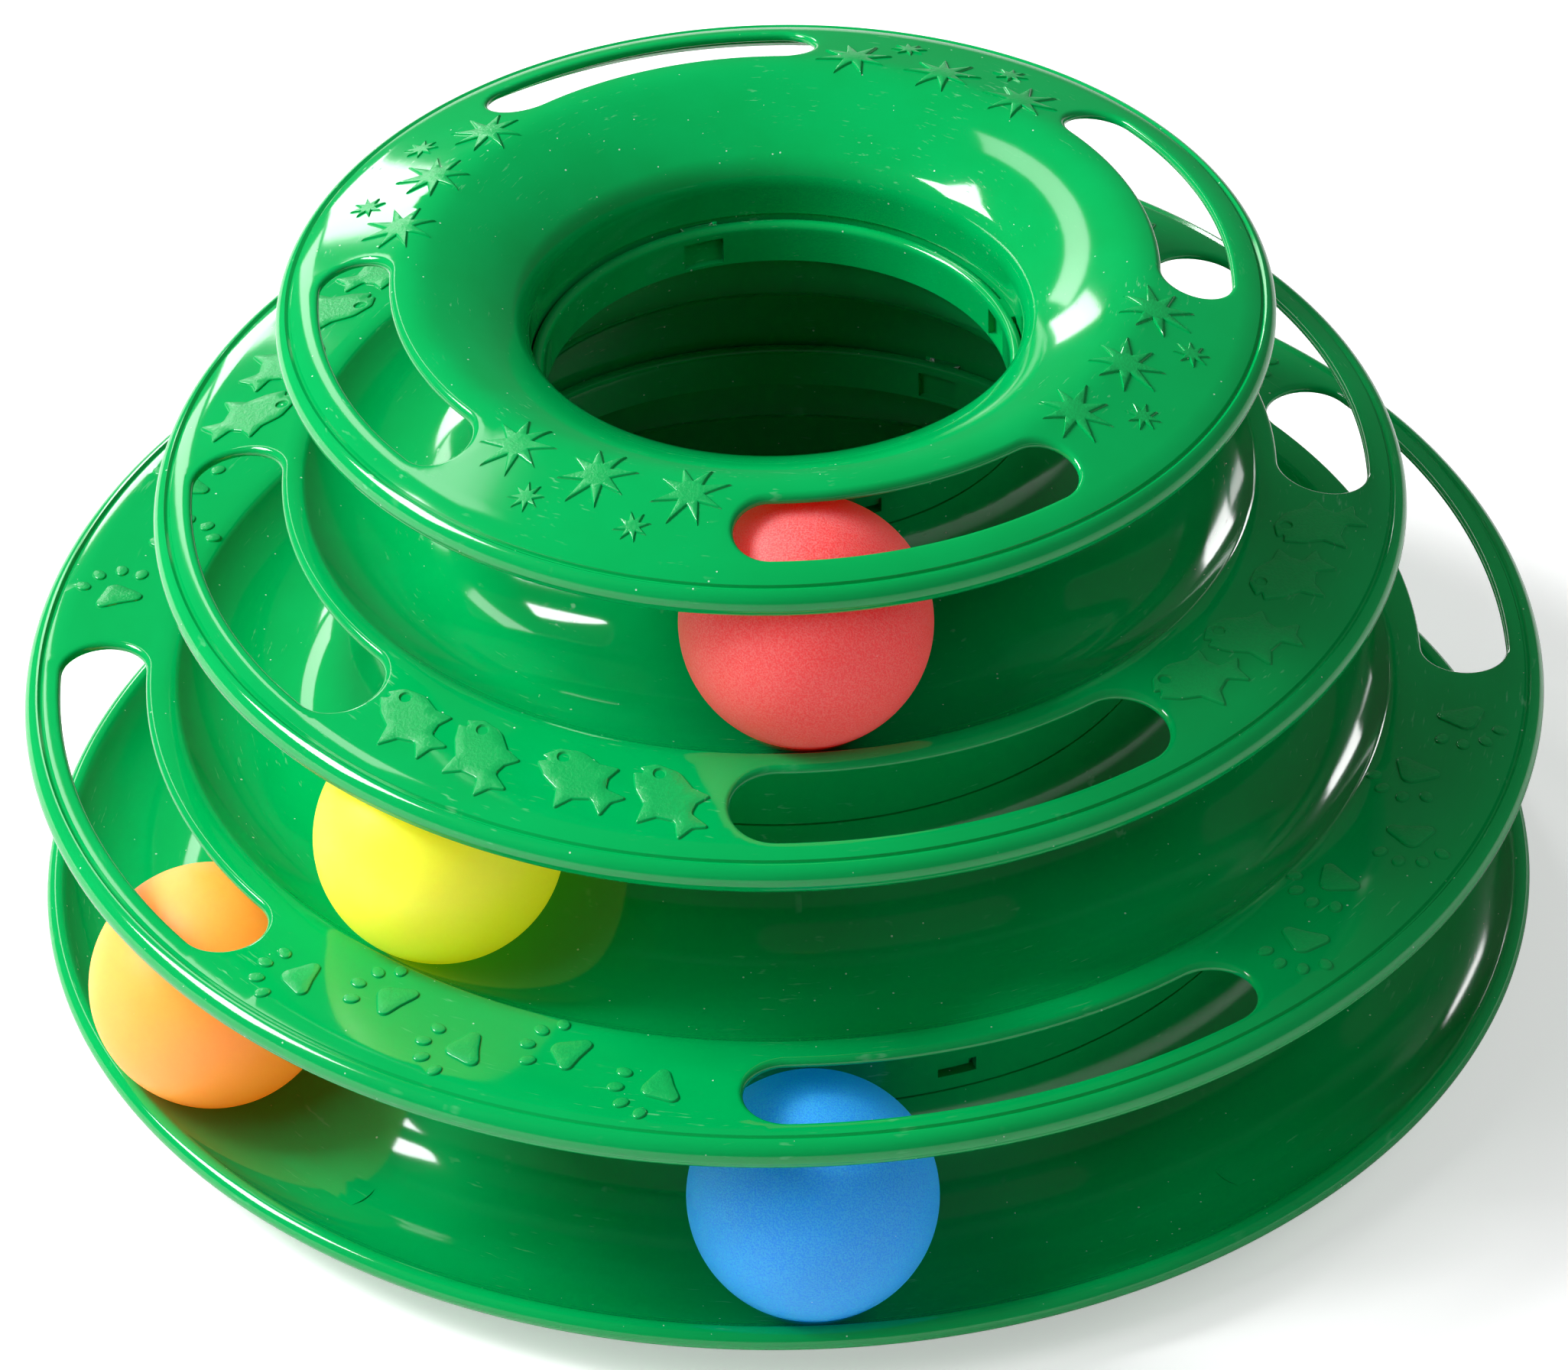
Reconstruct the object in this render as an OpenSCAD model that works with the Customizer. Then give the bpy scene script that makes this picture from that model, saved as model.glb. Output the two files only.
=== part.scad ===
// Ball track toy: a base track, two track tiers and a top ring stacked on stepped hubs.
// The origin is on the ground at the tower's axis, and the balls stand where they lie at rest.

/* [Balls] */
// Diameter of the balls
ball_d = 40; // [36:0.1:48]
// Gap between a ball and the lowest line of its trough
ball_gap = 0.2; // [0.1:0.05:0.3]
// Direction of the blue ball
blue_angle = -88.5; // [-180:0.1:180]
// Direction of the orange ball
orange_angle = -151.7; // [-180:0.1:180]
// Direction of the yellow ball
yellow_angle = -130.5; // [-180:0.1:180]
// Direction of the red ball
red_angle = -86.7; // [-180:0.1:180]

/* [Tracks] */
// Outer diameter of the narrowest hub, which carries the top ring
top_hub_d = 84; // [76:1:96]
// Extra radius of a trough over its ball
track_play = 1.5; // [1:0.1:3]
// Height of a level beyond the diameter of a ball
level_room = 0.4; // [0:0.1:8]
// Height of a parting line above the middle of the ball beside it, less the ball's gap
parting_lift = 0.2; // [-2:0.1:1]
// Thickness of the moulded troughs and rings
wall = 1.6; // [1.2:0.1:1.8]
// Height of the lowest track floor above the ground
floor_h = 6; // [5:0.5:10]

/* [Rims] */
// Radius of the rolled bead round each ring
bead_r = 2.7; // [2.2:0.1:3.4]
// Depth of the crease between a ring and its bead
crease_depth = 0.4; // [0.2:0.1:0.8]
// Angle by which a ring turns down further before its bead
rim_bend_angle = 18; // [8:1:26]
// Radius of that bend
bend_r = 8; // [5:0.5:12]
// Radius of the bead round the base track
base_bead_r = 1.9; // [1.6:0.1:2.6]
// How far the balls stand out past the base track
base_ball_out = 2.75; // [1.5:0.25:5]

/* [Lower tier] */
// Height of the ridge between trough and ring above the track floor
lower_crest_h = 6.2; // [4.5:0.1:9]
// How far the balls below stand out past the ring
lower_ball_out = 1.5; // [-8:0.1:4]
// Angle at which the ring falls outwards
lower_fall_angle = 2.2; // [0:0.1:8]
// Width of the slots that a paw reaches through
lower_slot_w = 14.1; // [10:0.1:16]
// Distance from the slots to the outside of the bead
lower_slot_margin = 6; // [5.6:0.1:9]
// Angle that each slot spans
lower_slot_angle = 44; // [30:1:60]

/* [Middle tier] */
// Height of the ridge between trough and ring above the track floor
middle_crest_h = 5.2; // [4.5:0.1:9]
// How far the balls below stand out past the ring
middle_ball_out = 3.2; // [-8:0.1:5]
// Angle at which the ring falls outwards
middle_fall_angle = 11; // [4:0.1:16]
// Width of the slots that a paw reaches through
middle_slot_w = 14.7; // [10:0.1:16]
// Distance from the slots to the outside of the bead
middle_slot_margin = 6.4; // [6:0.1:9]
// Angle that each slot spans
middle_slot_angle = 47.6; // [30:1:60]

/* [Top ring] */
// Height of the ring's crest above the balls below, less the ball's gap and the parting line's lift
top_room = 3.9; // [3.5:0.1:12]
// Distance from the crest to the middle of the balls below
crest_inset = 5.1; // [2:0.1:6]
// Radius of the crest
top_crest_r = 10; // [6:0.5:12]
// Slope of the mouth inside the crest, as an angle
mouth_slope = 26; // [15:1:35]
// Radius that rounds the mouth into the throat
mouth_r = 6.4; // [5:0.1:8]
// Width of the step in the throat above the hub's neck
throat_step = 0.4; // [0.2:0.1:0.8]
// How far the balls below stand out past the ring
top_ball_out = 3.3; // [-8:0.1:3.5]
// Angle at which the ring falls outwards
top_fall_angle = 16.6; // [8:0.1:18]
// Width of the slots that a paw reaches through
top_slot_w = 11.4; // [8:0.1:12]
// Distance from the slots to the outside of the bead
top_slot_margin = 7.1; // [6:0.1:8]
// Angle that each slot spans
top_slot_angle = 48.5; // [30:1:60]

/* [Slots] */
// Number of slots round each ring, and of lugs round each hub
slot_count = 4; // [3:1:5]
// Direction of the first slot, anticlockwise from the right-hand side
slot_start = 18; // [0:1:89]

/* [Click joints] */
// Angle by which the lower tier's joint is turned from the slots
lower_joint_angle = 45; // [0:1:89]
// Thickness of the collar that hangs from each upper piece
collar_wall = 2; // [1.8:0.1:2.2]
// Gap between a collar and the neck that it slides over
neck_gap = 0.3; // [0.2:0.05:0.5]
// Thickness of the neck
neck_wall = 2.2; // [2:0.1:3]
// Height of the neck above the parting line
neck_h = 5.7; // [5.6:0.1:6.2]
// Thickness of the shelf that carries the neck
shelf_t = 1.5; // [1:0.1:2.5]
// Gap at the parting line
seat_gap = 0.1; // [0.05:0.05:0.3]
// Width of the windows in a collar
window_w = 6.5; // [5:0.1:8]
// Height of the windows
window_h = 2.6; // [2.4:0.1:2.8]
// Height of the windows above the parting line
window_lift = 3; // [2.6:0.1:3.1]
// Thickness of the skin left outside the groove below each window
groove_skin = 0.7; // [0.5:0.05:0.8]
// Gap between a lug's tip and the groove
lug_gap = 0.3; // [0.2:0.05:0.4]
// Gap above a lug and at its tight side
lug_touch = 0.1; // [0.05:0.05:0.2]
// Gap below a lug
lug_drop = 0.8; // [0.5:0.1:1]
// Gap at a lug's loose side, which is its clockwise side on the middle tier
lug_play = 0.95; // [0.5:0.05:1.2]
// Depth of the relief behind each lug
relief_depth = 1.2; // [0.6:0.1:1.4]

/* [Foot pads] */
// Diameter of the pads
pad_d = 14; // [8:0.5:15]
// Thickness of the pads
pad_t = 2.4; // [1.6:0.1:2.8]
// Depth to which a pad sits in its boss
pad_seat = 1.2; // [0.6:0.1:1.4]
// Width of the gap round a seated pad
pad_gap = 0.1; // [0.05:0.05:0.3]
// Thickness of a boss's rim
boss_rim = 1.3; // [1:0.1:1.8]
// Direction of the first pad
pad_start = 45; // [0:1:89]

/* [Hidden] */
$fn = 144;
PAD_COUNT = 4;
GREEN = [0, 0.6, 0.34];
BLUE = [0.07, 0.27, 0.8];
ORANGE = [1, 0.45, 0.05];
YELLOW = [0.98, 0.9, 0.05];
RED = [0.88, 0.08, 0.12];
RUBBER = [0.75, 0.78, 0.75];
BASE = 0;
LOWER = 1;
MIDDLE = 2;
// Radius of the ridge between a trough and its ring
crest_r = 3.2;
// Angle below level at which a bead ends
bead_end_angle = 50;
// Radius of the troughs
trough_r = ball_d / 2 + track_play;
// Height from one track floor to the next
level_pitch = ball_d + level_room;
// Height of each parting line above its track floor
parting_h = ball_d / 2 + parting_lift;
// Height from the neck's top to the step in the throat
throat_lift = 0.8;
// Width of the relief behind a lug
relief_w = window_w + lug_gap;
// Height of that relief's foot below the parting line
relief_drop = shelf_t * 2 / 3;
// Height of that relief's top above the parting line, level with the lug's foot
relief_lift = window_lift + lug_drop;
// Overrun of every cut
over = 1;

// Outer radius of the hub that stands inside a level's track
function hub_r(level) = top_hub_d / 2 + (MIDDLE - level) * trough_r;
// Radius of a level's ball track
function track_r(level) = hub_r(level) + trough_r;
// Height of a level's track floor
function floor_z(level) = floor_h + level * level_pitch;
// Height of the parting line on a level's hub
function parting_z(level) = floor_z(level) + parting_h;
// Outer radius of a ring, past which the balls of the level below stand out
function ring_r(level, ball_out) = track_r(level - 1) + ball_d / 2 - ball_out;
// Outer and inner radius of the neck on a level's hub
function neck_out(level) = hub_r(level) - collar_wall - neck_gap;
function neck_in(level) = neck_out(level) - neck_wall;

// Angle from the slots to the click joint on a level's hub
function joint_angle(level) = level == LOWER ? lower_joint_angle : 0;

// Points along an arc, each with the direction that points out of the wall's visible face
function arc(cx, cz, r, from, to, side, steps, skip = 0) = [
    for (i = [skip:steps])
        let (a = from + (to - from) * i / steps)
        [cx + r * cos(a), cz + r * sin(a), side * cos(a), side * sin(a)]
];

// Visible face of a level's trough, from the parting line down and up again to the dip angle
function trough_face(level, dip) = arc(track_r(level), floor_z(level) + trough_r, trough_r,
    180 + asin((trough_r - parting_h) / trough_r), 360 - dip, -1, 30);

// Visible face of a ring, from the start of its crest to the end of its bead
function ring_face(cx, cz, r, from, fall, out_r) =
    let (rim_fall = fall + rim_bend_angle)
    let (bead_from = 90 - rim_fall + acos((bead_r - crease_depth) / bead_r))
    let (bead_x = out_r - bead_r)
    let (bend_x = bead_x + bead_r * cos(bead_from) - bend_r * sin(rim_fall))
    let (crest_end = [cx + r * sin(fall), cz + r * cos(fall)])
    let (bend_start_x = bend_x + bend_r * sin(fall))
    let (bend_z = crest_end[1] - tan(fall) * (bend_start_x - crest_end[0]) - bend_r * cos(fall))
    let (bead_z = bend_z + bend_r * cos(rim_fall) - bead_r * sin(bead_from))
    concat(
        arc(cx, cz, r, from, 90 - fall, 1, 8, 1),
        arc(bend_x, bend_z, bend_r, 90 - fall, 90 - rim_fall, 1, 4),
        arc(bead_x, bead_z, bead_r, bead_from, -bead_end_angle, 1, 16, 1)
    );

// Angle of the trough's end, from the height of the ridge above the floor
function dip_angle(crest_h) = asin((trough_r - crest_h + crest_r) / (trough_r + crest_r));
// Radius of a tier's ridge
function ridge_r(level, crest_h) = track_r(level) + (trough_r + crest_r) * cos(dip_angle(crest_h));

// Visible face of a tier, from its hub to its bead
function tier_face(level, crest_h, fall, out_r) =
    let (dip = dip_angle(crest_h))
    concat(
        trough_face(level, dip),
        ring_face(ridge_r(level, crest_h), floor_z(level) + crest_h - crest_r, crest_r,
            180 - dip, fall, out_r)
    );

// Places of a face's points, and of the points behind them through the wall, in turned order
function places(face) = [for (p = face) [p[0], p[1]]];
function behind(face) = [
    for (i = [len(face) - 1:-1:0])
        [face[i][0] - wall * face[i][2], face[i][1] - wall * face[i][3]]
];

// Profile of a wall with its visible face
module wall_profile(face) {
    polygon(concat(places(face), behind(face)));
}

// Profile of the shelf and the neck on top of a level's hub
module neck_profile(level) {
    z = parting_z(level);
    round_r = neck_wall / 2;
    translate([neck_in(level), z - shelf_t])
        square([hub_r(level) - neck_in(level), shelf_t]);
    translate([neck_in(level), z - shelf_t])
        square([neck_wall, shelf_t + neck_h - round_r]);
    translate([neck_in(level) + round_r, z + neck_h - round_r])
        circle(round_r);
}

// Places its children at each slot's direction, turned further by an angle
module at_slots(angle = 0) {
    for (i = [0:slot_count - 1])
        rotate(slot_start + angle + i * 360 / slot_count)
            children();
}

// Outline of one slot: two arcs round the tower's axis and two round ends
module slot_outline(out_r, width, span) {
    end_r = width / 2;
    half = span / 2 - asin(end_r / (out_r - end_r));
    end = [(out_r - end_r) * cos(half), (out_r - end_r) * sin(half)];
    polygon(places(concat(
        arc(0, 0, out_r, -half, half, 1, 24, 1),
        arc(end[0], end[1], end_r, half, half + 180, 1, 18, 1),
        arc(0, 0, out_r - width, half, -half, 1, 24, 1),
        arc(end[0], -end[1], end_r, 180 - half, 360 - half, 1, 18, 1)
    )));
}

// Cuts the slots through a ring
module slots(out_r, width, span, low, high) {
    at_slots()
        translate([0, 0, low])
            linear_extrude(high - low)
                slot_outline(out_r, width, span);
}

// Lugs on a level's neck, which click into the windows of the piece above
module lugs(level) {
    z = parting_z(level) + window_lift + lug_drop;
    tip = hub_r(level) - groove_skin - lug_gap;
    root = neck_in(level) + neck_wall / 2;
    clockwise_gap = level == MIDDLE ? lug_play : lug_touch;
    at_slots(joint_angle(level))
        translate([root, clockwise_gap - window_w / 2, z])
            cube([tip - root, window_w - lug_touch - lug_play, window_h - lug_drop - lug_touch]);
}

// Reliefs behind the lugs, which let the neck give
module reliefs(level) {
    low = parting_z(level) - relief_drop;
    at_slots(joint_angle(level))
        translate([neck_in(level) - over, -relief_w / 2, low])
            cube([relief_depth + over, relief_w, parting_z(level) + relief_lift - low]);
}

// Windows in the collar over a level's neck, and the grooves that lead the lugs to them
module windows(level) {
    bottom = parting_z(level);
    inside = hub_r(level) - collar_wall - over;
    at_slots(joint_angle(level)) {
        translate([inside, -window_w / 2, bottom + window_lift])
            cube([collar_wall + over * 2, window_w, window_h]);
        translate([inside, -window_w / 2, bottom - over])
            cube([collar_wall + over - groove_skin, window_w, window_lift + over * 2]);
    }
}

// One track tier, with the collar of the level below it and the neck for the piece above
module tier(level, crest_h, fall, ball_out, slot_margin, slot_w, slot_angle) {
    out_r = ring_r(level, ball_out);
    below = level - 1;
    collar_bottom = parting_z(below) + seat_gap;
    difference() {
        union() {
            rotate_extrude() {
                wall_profile(tier_face(level, crest_h, fall, out_r));
                neck_profile(level);
                translate([hub_r(below) - collar_wall, collar_bottom])
                    square([collar_wall, floor_z(level) - wall / 2 - collar_bottom]);
            }
            lugs(level);
        }
        slots(out_r - slot_margin, slot_w, slot_angle, floor_z(level) - wall, floor_z(level) + trough_r);
        windows(below);
        reliefs(level);
    }
}

// Bottom track, which stands on the foot pads
module base_track() {
    rim_r = track_r(BASE) + ball_d / 2 - base_ball_out;
    edge_r = rim_r - 2 * base_bead_r + crease_depth / 2;
    dip = acos((edge_r - track_r(BASE)) / trough_r);
    edge_z = floor_h + trough_r - trough_r * sin(dip);
    boss_r = pad_d / 2 + pad_gap + boss_rim;
    boss_bottom = pad_t - pad_seat;
    boss_top = floor_h + trough_r - sqrt(pow(trough_r + wall, 2) - pow(boss_r, 2)) + pad_gap * 2;
    color(GREEN)
        difference() {
            union() {
                rotate_extrude() {
                    wall_profile(trough_face(BASE, dip));
                    neck_profile(BASE);
                    translate([rim_r - base_bead_r, edge_z - base_bead_r / 2])
                        circle(base_bead_r);
                }
                lugs(BASE);
                at_pads()
                    translate([0, 0, boss_bottom])
                        cylinder(r = boss_r, h = boss_top - boss_bottom);
            }
            at_pads()
                translate([0, 0, boss_bottom - over])
                    cylinder(r = pad_d / 2 + pad_gap, h = pad_seat + over);
            reliefs(BASE);
        }
}

// Places its children at each foot pad's centre
module at_pads() {
    for (i = [0:PAD_COUNT - 1])
        rotate(pad_start + i * 360 / PAD_COUNT)
            translate([track_r(BASE), 0])
                children();
}

// Track tier above the base
module lower_tier() {
    color(GREEN)
        tier(LOWER, lower_crest_h, lower_fall_angle, lower_ball_out,
            lower_slot_margin, lower_slot_w, lower_slot_angle);
}

// Track tier below the top ring
module middle_tier() {
    color(GREEN)
        tier(MIDDLE, middle_crest_h, middle_fall_angle, middle_ball_out,
            middle_slot_margin, middle_slot_w, middle_slot_angle);
}

// Flared top ring, whose collar clicks over the narrowest neck
module top_ring() {
    hub = hub_r(MIDDLE);
    crest_x = track_r(MIDDLE) - crest_inset;
    crest_z = parting_z(MIDDLE) + ball_d / 2 + top_room - top_crest_r;
    out_r = ring_r(MIDDLE + 1, top_ball_out);
    throat_r = hub - collar_wall - throat_step;
    throat_z = parting_z(MIDDLE) + neck_h + throat_lift;
    mouth_x = throat_r + mouth_r;
    mouth_z = crest_z + (top_crest_r - mouth_r) * cos(mouth_slope)
        - tan(mouth_slope) * (crest_x - mouth_x - (top_crest_r - mouth_r) * sin(mouth_slope));
    face = concat(
        arc(mouth_x, mouth_z, mouth_r, 180, 90 + mouth_slope, 1, 10),
        arc(crest_x, crest_z, top_crest_r, 90 + mouth_slope, 90, 1, 5),
        ring_face(crest_x, crest_z, top_crest_r, 90, top_fall_angle, out_r)
    );
    flare_z = mouth_z + sqrt(pow(mouth_r - wall, 2) - pow(mouth_x - hub, 2));
    collar_bottom = parting_z(MIDDLE) + seat_gap;
    color(GREEN)
        difference() {
            rotate_extrude()
                polygon(concat(
                    [[hub - collar_wall, collar_bottom], [hub - collar_wall, throat_z], [throat_r, throat_z]],
                    places(face),
                    [for (p = behind(face)) if (p[0] > hub) p],
                    [[hub, flare_z], [hub, collar_bottom]]
                ));
            slots(out_r - top_slot_margin, top_slot_w, top_slot_angle,
                crest_z - top_crest_r, crest_z + top_crest_r + over);
            windows(MIDDLE);
        }
}

// One ball, resting in a level's trough
module ball(level, direction) {
    rotate(direction)
        translate([track_r(level), 0, floor_z(level) + ball_gap + ball_d / 2])
            sphere(d = ball_d);
}

// One rubber pad, seated in its boss under the base track
module foot_pad(number) {
    color(RUBBER)
        rotate(pad_start + (number - 1) * 360 / PAD_COUNT)
            translate([track_r(BASE), 0])
                cylinder(d = pad_d, h = pad_t);
}

base_track();
lower_tier();
middle_tier();
top_ring();
color(BLUE) ball(BASE, blue_angle);  // blue_ball
color(ORANGE) ball(BASE, orange_angle);  // orange_ball
color(YELLOW) ball(LOWER, yellow_angle);  // yellow_ball
color(RED) ball(MIDDLE, red_angle);  // red_ball
foot_pad(1);  // foot_pad_1
foot_pad(2);  // foot_pad_2
foot_pad(3);  // foot_pad_3
foot_pad(4);  // foot_pad_4
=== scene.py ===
"""Looks of the cat ball track toy: moulded shells, balls, foot pads and the studio round them."""

import math
from collections import namedtuple

import bmesh
import bpy
from mathutils import Matrix, Quaternion, Vector, geometry, kdtree


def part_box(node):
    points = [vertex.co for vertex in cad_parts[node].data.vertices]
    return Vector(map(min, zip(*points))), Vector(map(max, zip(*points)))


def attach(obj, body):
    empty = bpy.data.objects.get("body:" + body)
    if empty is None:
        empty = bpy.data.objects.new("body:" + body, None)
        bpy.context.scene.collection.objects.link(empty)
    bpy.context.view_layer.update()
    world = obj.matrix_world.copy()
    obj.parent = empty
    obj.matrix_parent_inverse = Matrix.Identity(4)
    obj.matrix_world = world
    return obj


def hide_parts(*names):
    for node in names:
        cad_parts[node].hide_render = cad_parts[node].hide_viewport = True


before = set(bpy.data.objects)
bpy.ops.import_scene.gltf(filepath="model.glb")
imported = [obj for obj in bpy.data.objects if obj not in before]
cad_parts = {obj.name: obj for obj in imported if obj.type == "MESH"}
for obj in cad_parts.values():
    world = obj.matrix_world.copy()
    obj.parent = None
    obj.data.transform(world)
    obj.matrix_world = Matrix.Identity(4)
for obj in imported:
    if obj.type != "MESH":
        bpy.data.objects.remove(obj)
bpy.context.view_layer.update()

bl_info = {
    "name": "Cat Ball Track Toy",
    "version": (1, 0, 0),
    "blender": (4, 5, 0),
    "location": "View3D > Sidebar > Track Toy",
    "description": "Builds the moulded shells, balls, pads and studio of a cat ball track toy",
    "category": "Object",
}

MM = 0.001
BASE = 0
LOWER = 1
MIDDLE = 2

# Sizes shared by the shells, their click joints and the pads
BALL_GAP = 0.2 * MM
BALL_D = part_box("blue_ball")[1].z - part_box("blue_ball")[0].z
FLOOR_Z = [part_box(ball)[0].z - BALL_GAP for ball in ("blue_ball", "yellow_ball", "red_ball")]
TROUGH_R = BALL_D / 2 + 1.5 * MM
TOP_HUB_R = 42 * MM
PARTING_H = BALL_D / 2 + 0.2 * MM
CREST_R = 3.2 * MM
CREST_LEAN = 22
BEAD_R = 2.7 * MM
BASE_BEAD_R = 1.9 * MM
CREASE = 0.4 * MM
CREASE_DEPTH = 0.5 * MM
RIM_BEND = 18
BEND_R = 8 * MM
BEAD_END = 50
COLLAR_WALL = 2 * MM
NECK_GAP = 0.3 * MM
NECK_WALL = 2.2 * MM
NECK_H = 5.7 * MM
SHELF_T = 1.5 * MM
SEAT_GAP = 0.1 * MM
SLOT_COUNT = 4
SLOT_START = 18
WINDOW_W = 6.5 * MM
WINDOW_LIFT = 3 * MM
WINDOW_H = 2.6 * MM

# By level: how far its click joint is turned, and where the two sides of each lug lie
JOINT_ANGLES = (0, 45, 0)
LUG_SIDES = ((-3.15 * MM, 2.3 * MM), (-3.15 * MM, 2.3 * MM), (-2.3 * MM, 3.15 * MM))
LUG_LIFT = 3.8 * MM
LUG_H = 1.7 * MM
LUG_TIP = 1 * MM
LUG_ROWS = 5
RELIEF_W = 6.8 * MM
RELIEF_DEPTH = 1.2 * MM
RELIEF_DROP = 1 * MM
PAD_COUNT = 4
PAD_START = 45
PAD_D = 14 * MM
PAD_T = 2.4 * MM
PAD_SEAT = 1.2 * MM
PAD_GAP = 0.1 * MM
BOSS_RIM = 1.3 * MM
PAD_SOFT = 0.4 * MM
COLLAR_SOFT = 0.25 * MM
WELD = 0.002 * MM
SHARP_EDGE = 40

# Nets: how near to a kept edge a spoke or point may lie, as a share of a step, and a mitre's limit
PLATE_STEP = 1.6 * MM
SPOKE_CLEAR = 0.35
NET_CLEAR = 0.45
NET_MERGE = 1e-9
MITRE_LIMIT = 0.25
BALL_COLUMNS = 128
BALL_ROWS = 96

# Angles round the bead: its groove lies past the crease, and its mould line has a slope on both sides
GROOVE_START = 5
GROOVE_STOP = 12
GROOVE_END = 22
MOULD_LINE = -18
MOULD_LINE_W = 6
MOULD_LINE_SLOPE = 3
MOULD_LINE_DEPTH = 0.07 * MM

# Balls: their seam, and how each looks and lies; inner and glow set a painted glow, an emission in the inner
# colour that brightens each ball as if light filled it
SEAM_HALF_W = 0.18 * MM
SEAM_SHARE = 0.0012
BallLook = namedtuple("BallLook", "finish speck sandy inner glow lean turn")
# Each ball's paler speck colour tints its grain; on the sandy balls these specks are partly painted glints
BALL_LOOKS = {
    "blue": BallLook("blue_sandy", (0.06, 0.5, 0.98), 1.0, (0.0, 0.32, 1.0), 0.2, 35, 20),
    "orange": BallLook("orange_satin", (1.0, 0.55, 0.18), 0.0, (1.0, 0.14, 0.0), 0.5, 60, -30),
    "yellow": BallLook("yellow_satin", (0.95, 0.93, 0.2), 0.0, (1.0, 0.9, 0.0), 0.3, -50, 15),
    "red": BallLook("red_sandy", (1.0, 0.26, 0.25), 0.8, (1.0, 0.0, 0.0), 0.22, 110, 40),
}

# Rings and their slots, as they are moulded
Ring = namedtuple("Ring", "level crest_h fall slot_margin slot_w slot_angle")
LOWER_RING = Ring(LOWER, 6.2 * MM, 2.2, 6 * MM, 14.1 * MM, 44)
MIDDLE_RING = Ring(MIDDLE, 5.2 * MM, 11, 6.4 * MM, 14.7 * MM, 47.6)
TOP_RING = Ring(MIDDLE + 1, 0, 16.6, 7.1 * MM, 11.4 * MM, 48.5)
TOP_CREST_R = 10 * MM
TOP_CREST_X = 58.4 * MM
MOUTH_BOW = 9
MOUTH_SLOPE = 26
MOUTH_R = 6.4 * MM
THROAT_STEP = 0.4 * MM
THROAT_LIFT = 0.8 * MM

# Raised figures: offsets are angles from the middle between two slots
SHOULDER_IN = 0.35
SHOULDER_H = 0.72
Star = namedtuple("Star", "radius shares notch edge spacing ring_r height offsets")
BIG_STAR = Star(
    6.4 * MM, (1.0, 0.93, 1.04, 0.97, 0.94, 0.9, 1.0, 1.05), 0.37, 0.22 * MM, 0.7 * MM, 61.8 * MM, 1.0,
    (-14.3, -0.3, 14.0))
SMALL_STAR = Star(
    3.0 * MM, (1.0, 0.95, 1.02, 0.98, 1.0, 0.96, 1.04, 0.97), 0.42, 0.17 * MM, 0.6 * MM, 69.5 * MM, 0.85,
    (-7.6, 7.7))
STAR_TWIST = 22.5

# A plain fish, its nose along -X, with back, belly and tail fins: corners and their radii in millimetres
FISH_CORNERS = (
    (-8.1, -0.9, 0.3), (-6.6, -0.7, 0.2), (-7.7, -2.2, 0.35), (-4.6, -3.5, 3.0), (-1.2, -3.9, 0.4),
    (1.7, -7.0, 0.35), (2.4, -3.5, 0.4), (4.6, -1.5, 0.8), (8.2, -3.0, 0.35), (7.4, 0.2, 1.2),
    (8.6, 2.7, 0.35), (4.6, 1.6, 0.8), (3.4, 3.2, 0.4), (3.2, 5.9, 0.35), (0.2, 4.3, 0.4),
    (-3.6, 4.1, 3.5), (-7.0, 2.0, 1.6),
)
FISH_EYE = (-5.1 * MM, 1.2 * MM, 2.3 * MM, 2.1 * MM)
FISH_PLACES = ((-15.0, 87.6, 66), (-5.7, 88.2, 43), (5.3, 87.2, 62), (15.0, 88.2, 40))
FISH_EYE_RIM = 0.2 * MM
FISH_EYE_H = 0.1
FISH_EDGE = 0.24 * MM
FISH_SPACING = 0.8 * MM

# A paw print: sole, four toes and the places of the prints
SOLE_CORNERS = ((4.6, 0.3, 1.7), (-2.2, 5.3, 1.2), (-1.8, 0.2, 8.0), (-2.0, -5.5, 1.2))
TOE = (7.4 * MM, 0, 2.8 * MM, 2.2 * MM)
TOE_H = 0.9
TOE_PLACES = ((-44, -0.4), (-15, 0), (15, 0), (46, -0.4))
PAW_OFFSETS = (-16.4, -8.4, 0.1, 8.3, 16.6)
PAW_PLACES = ((112.2, -67), (107.6, -107))
PAW_EDGE = 0.26 * MM
PAW_SPACING = 0.7 * MM

# Camera fitted to the photograph, whose width is in pixels
PHOTO_WIDTH = 2051
FOCAL_LENGTH_PX = 12913.7
SENSOR_WIDTH = 36
CAMERA_PLACE = (0, -1.29555, 1.03343)
CAMERA_PITCH = 37.305
CAMERA_ROLL = -1.267
CAMERA_REACH = 20

# Lamps stand round the toy and face a point on its axis; those that don't shine in the gloss only light it
Lamp = namedtuple("Lamp", "name power azimuth distance height size lean in_gloss")
LAMP_AIM = 60 * MM
LAMPS = (
    Lamp("key_softbox", "key_power", 172, 1.17, 1.15, (0.68, 0.56), 0, True),
    Lamp("side_softbox", "side_power", 200, 1.16, 1.22, (1.2, 1.0), 0, False),
    Lamp("window_light", "window_power", 109, 1.65, 0.53, (0.18, 0.4), 0, True),
    Lamp("curtain_gap", "gap_power", 121.5, 1.36, 1.08, (0.18, 1.4), -15, True),
    Lamp("fill_softbox", "fill_power", -13, 1.27, 1.33, (1.6, 0.8), 0, False),
)
FLOOR_HALF = 6

# Centres and angles of a ring's arcs, and an outline that a ring's face keeps
Form = namedtuple("Form", "crest_x crest_z crest_r fall rim_fall bend_x bend_z bead_x bead_z bead_from out_r")
Loop = namedtuple("Loop", "points lift frosted")


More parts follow.
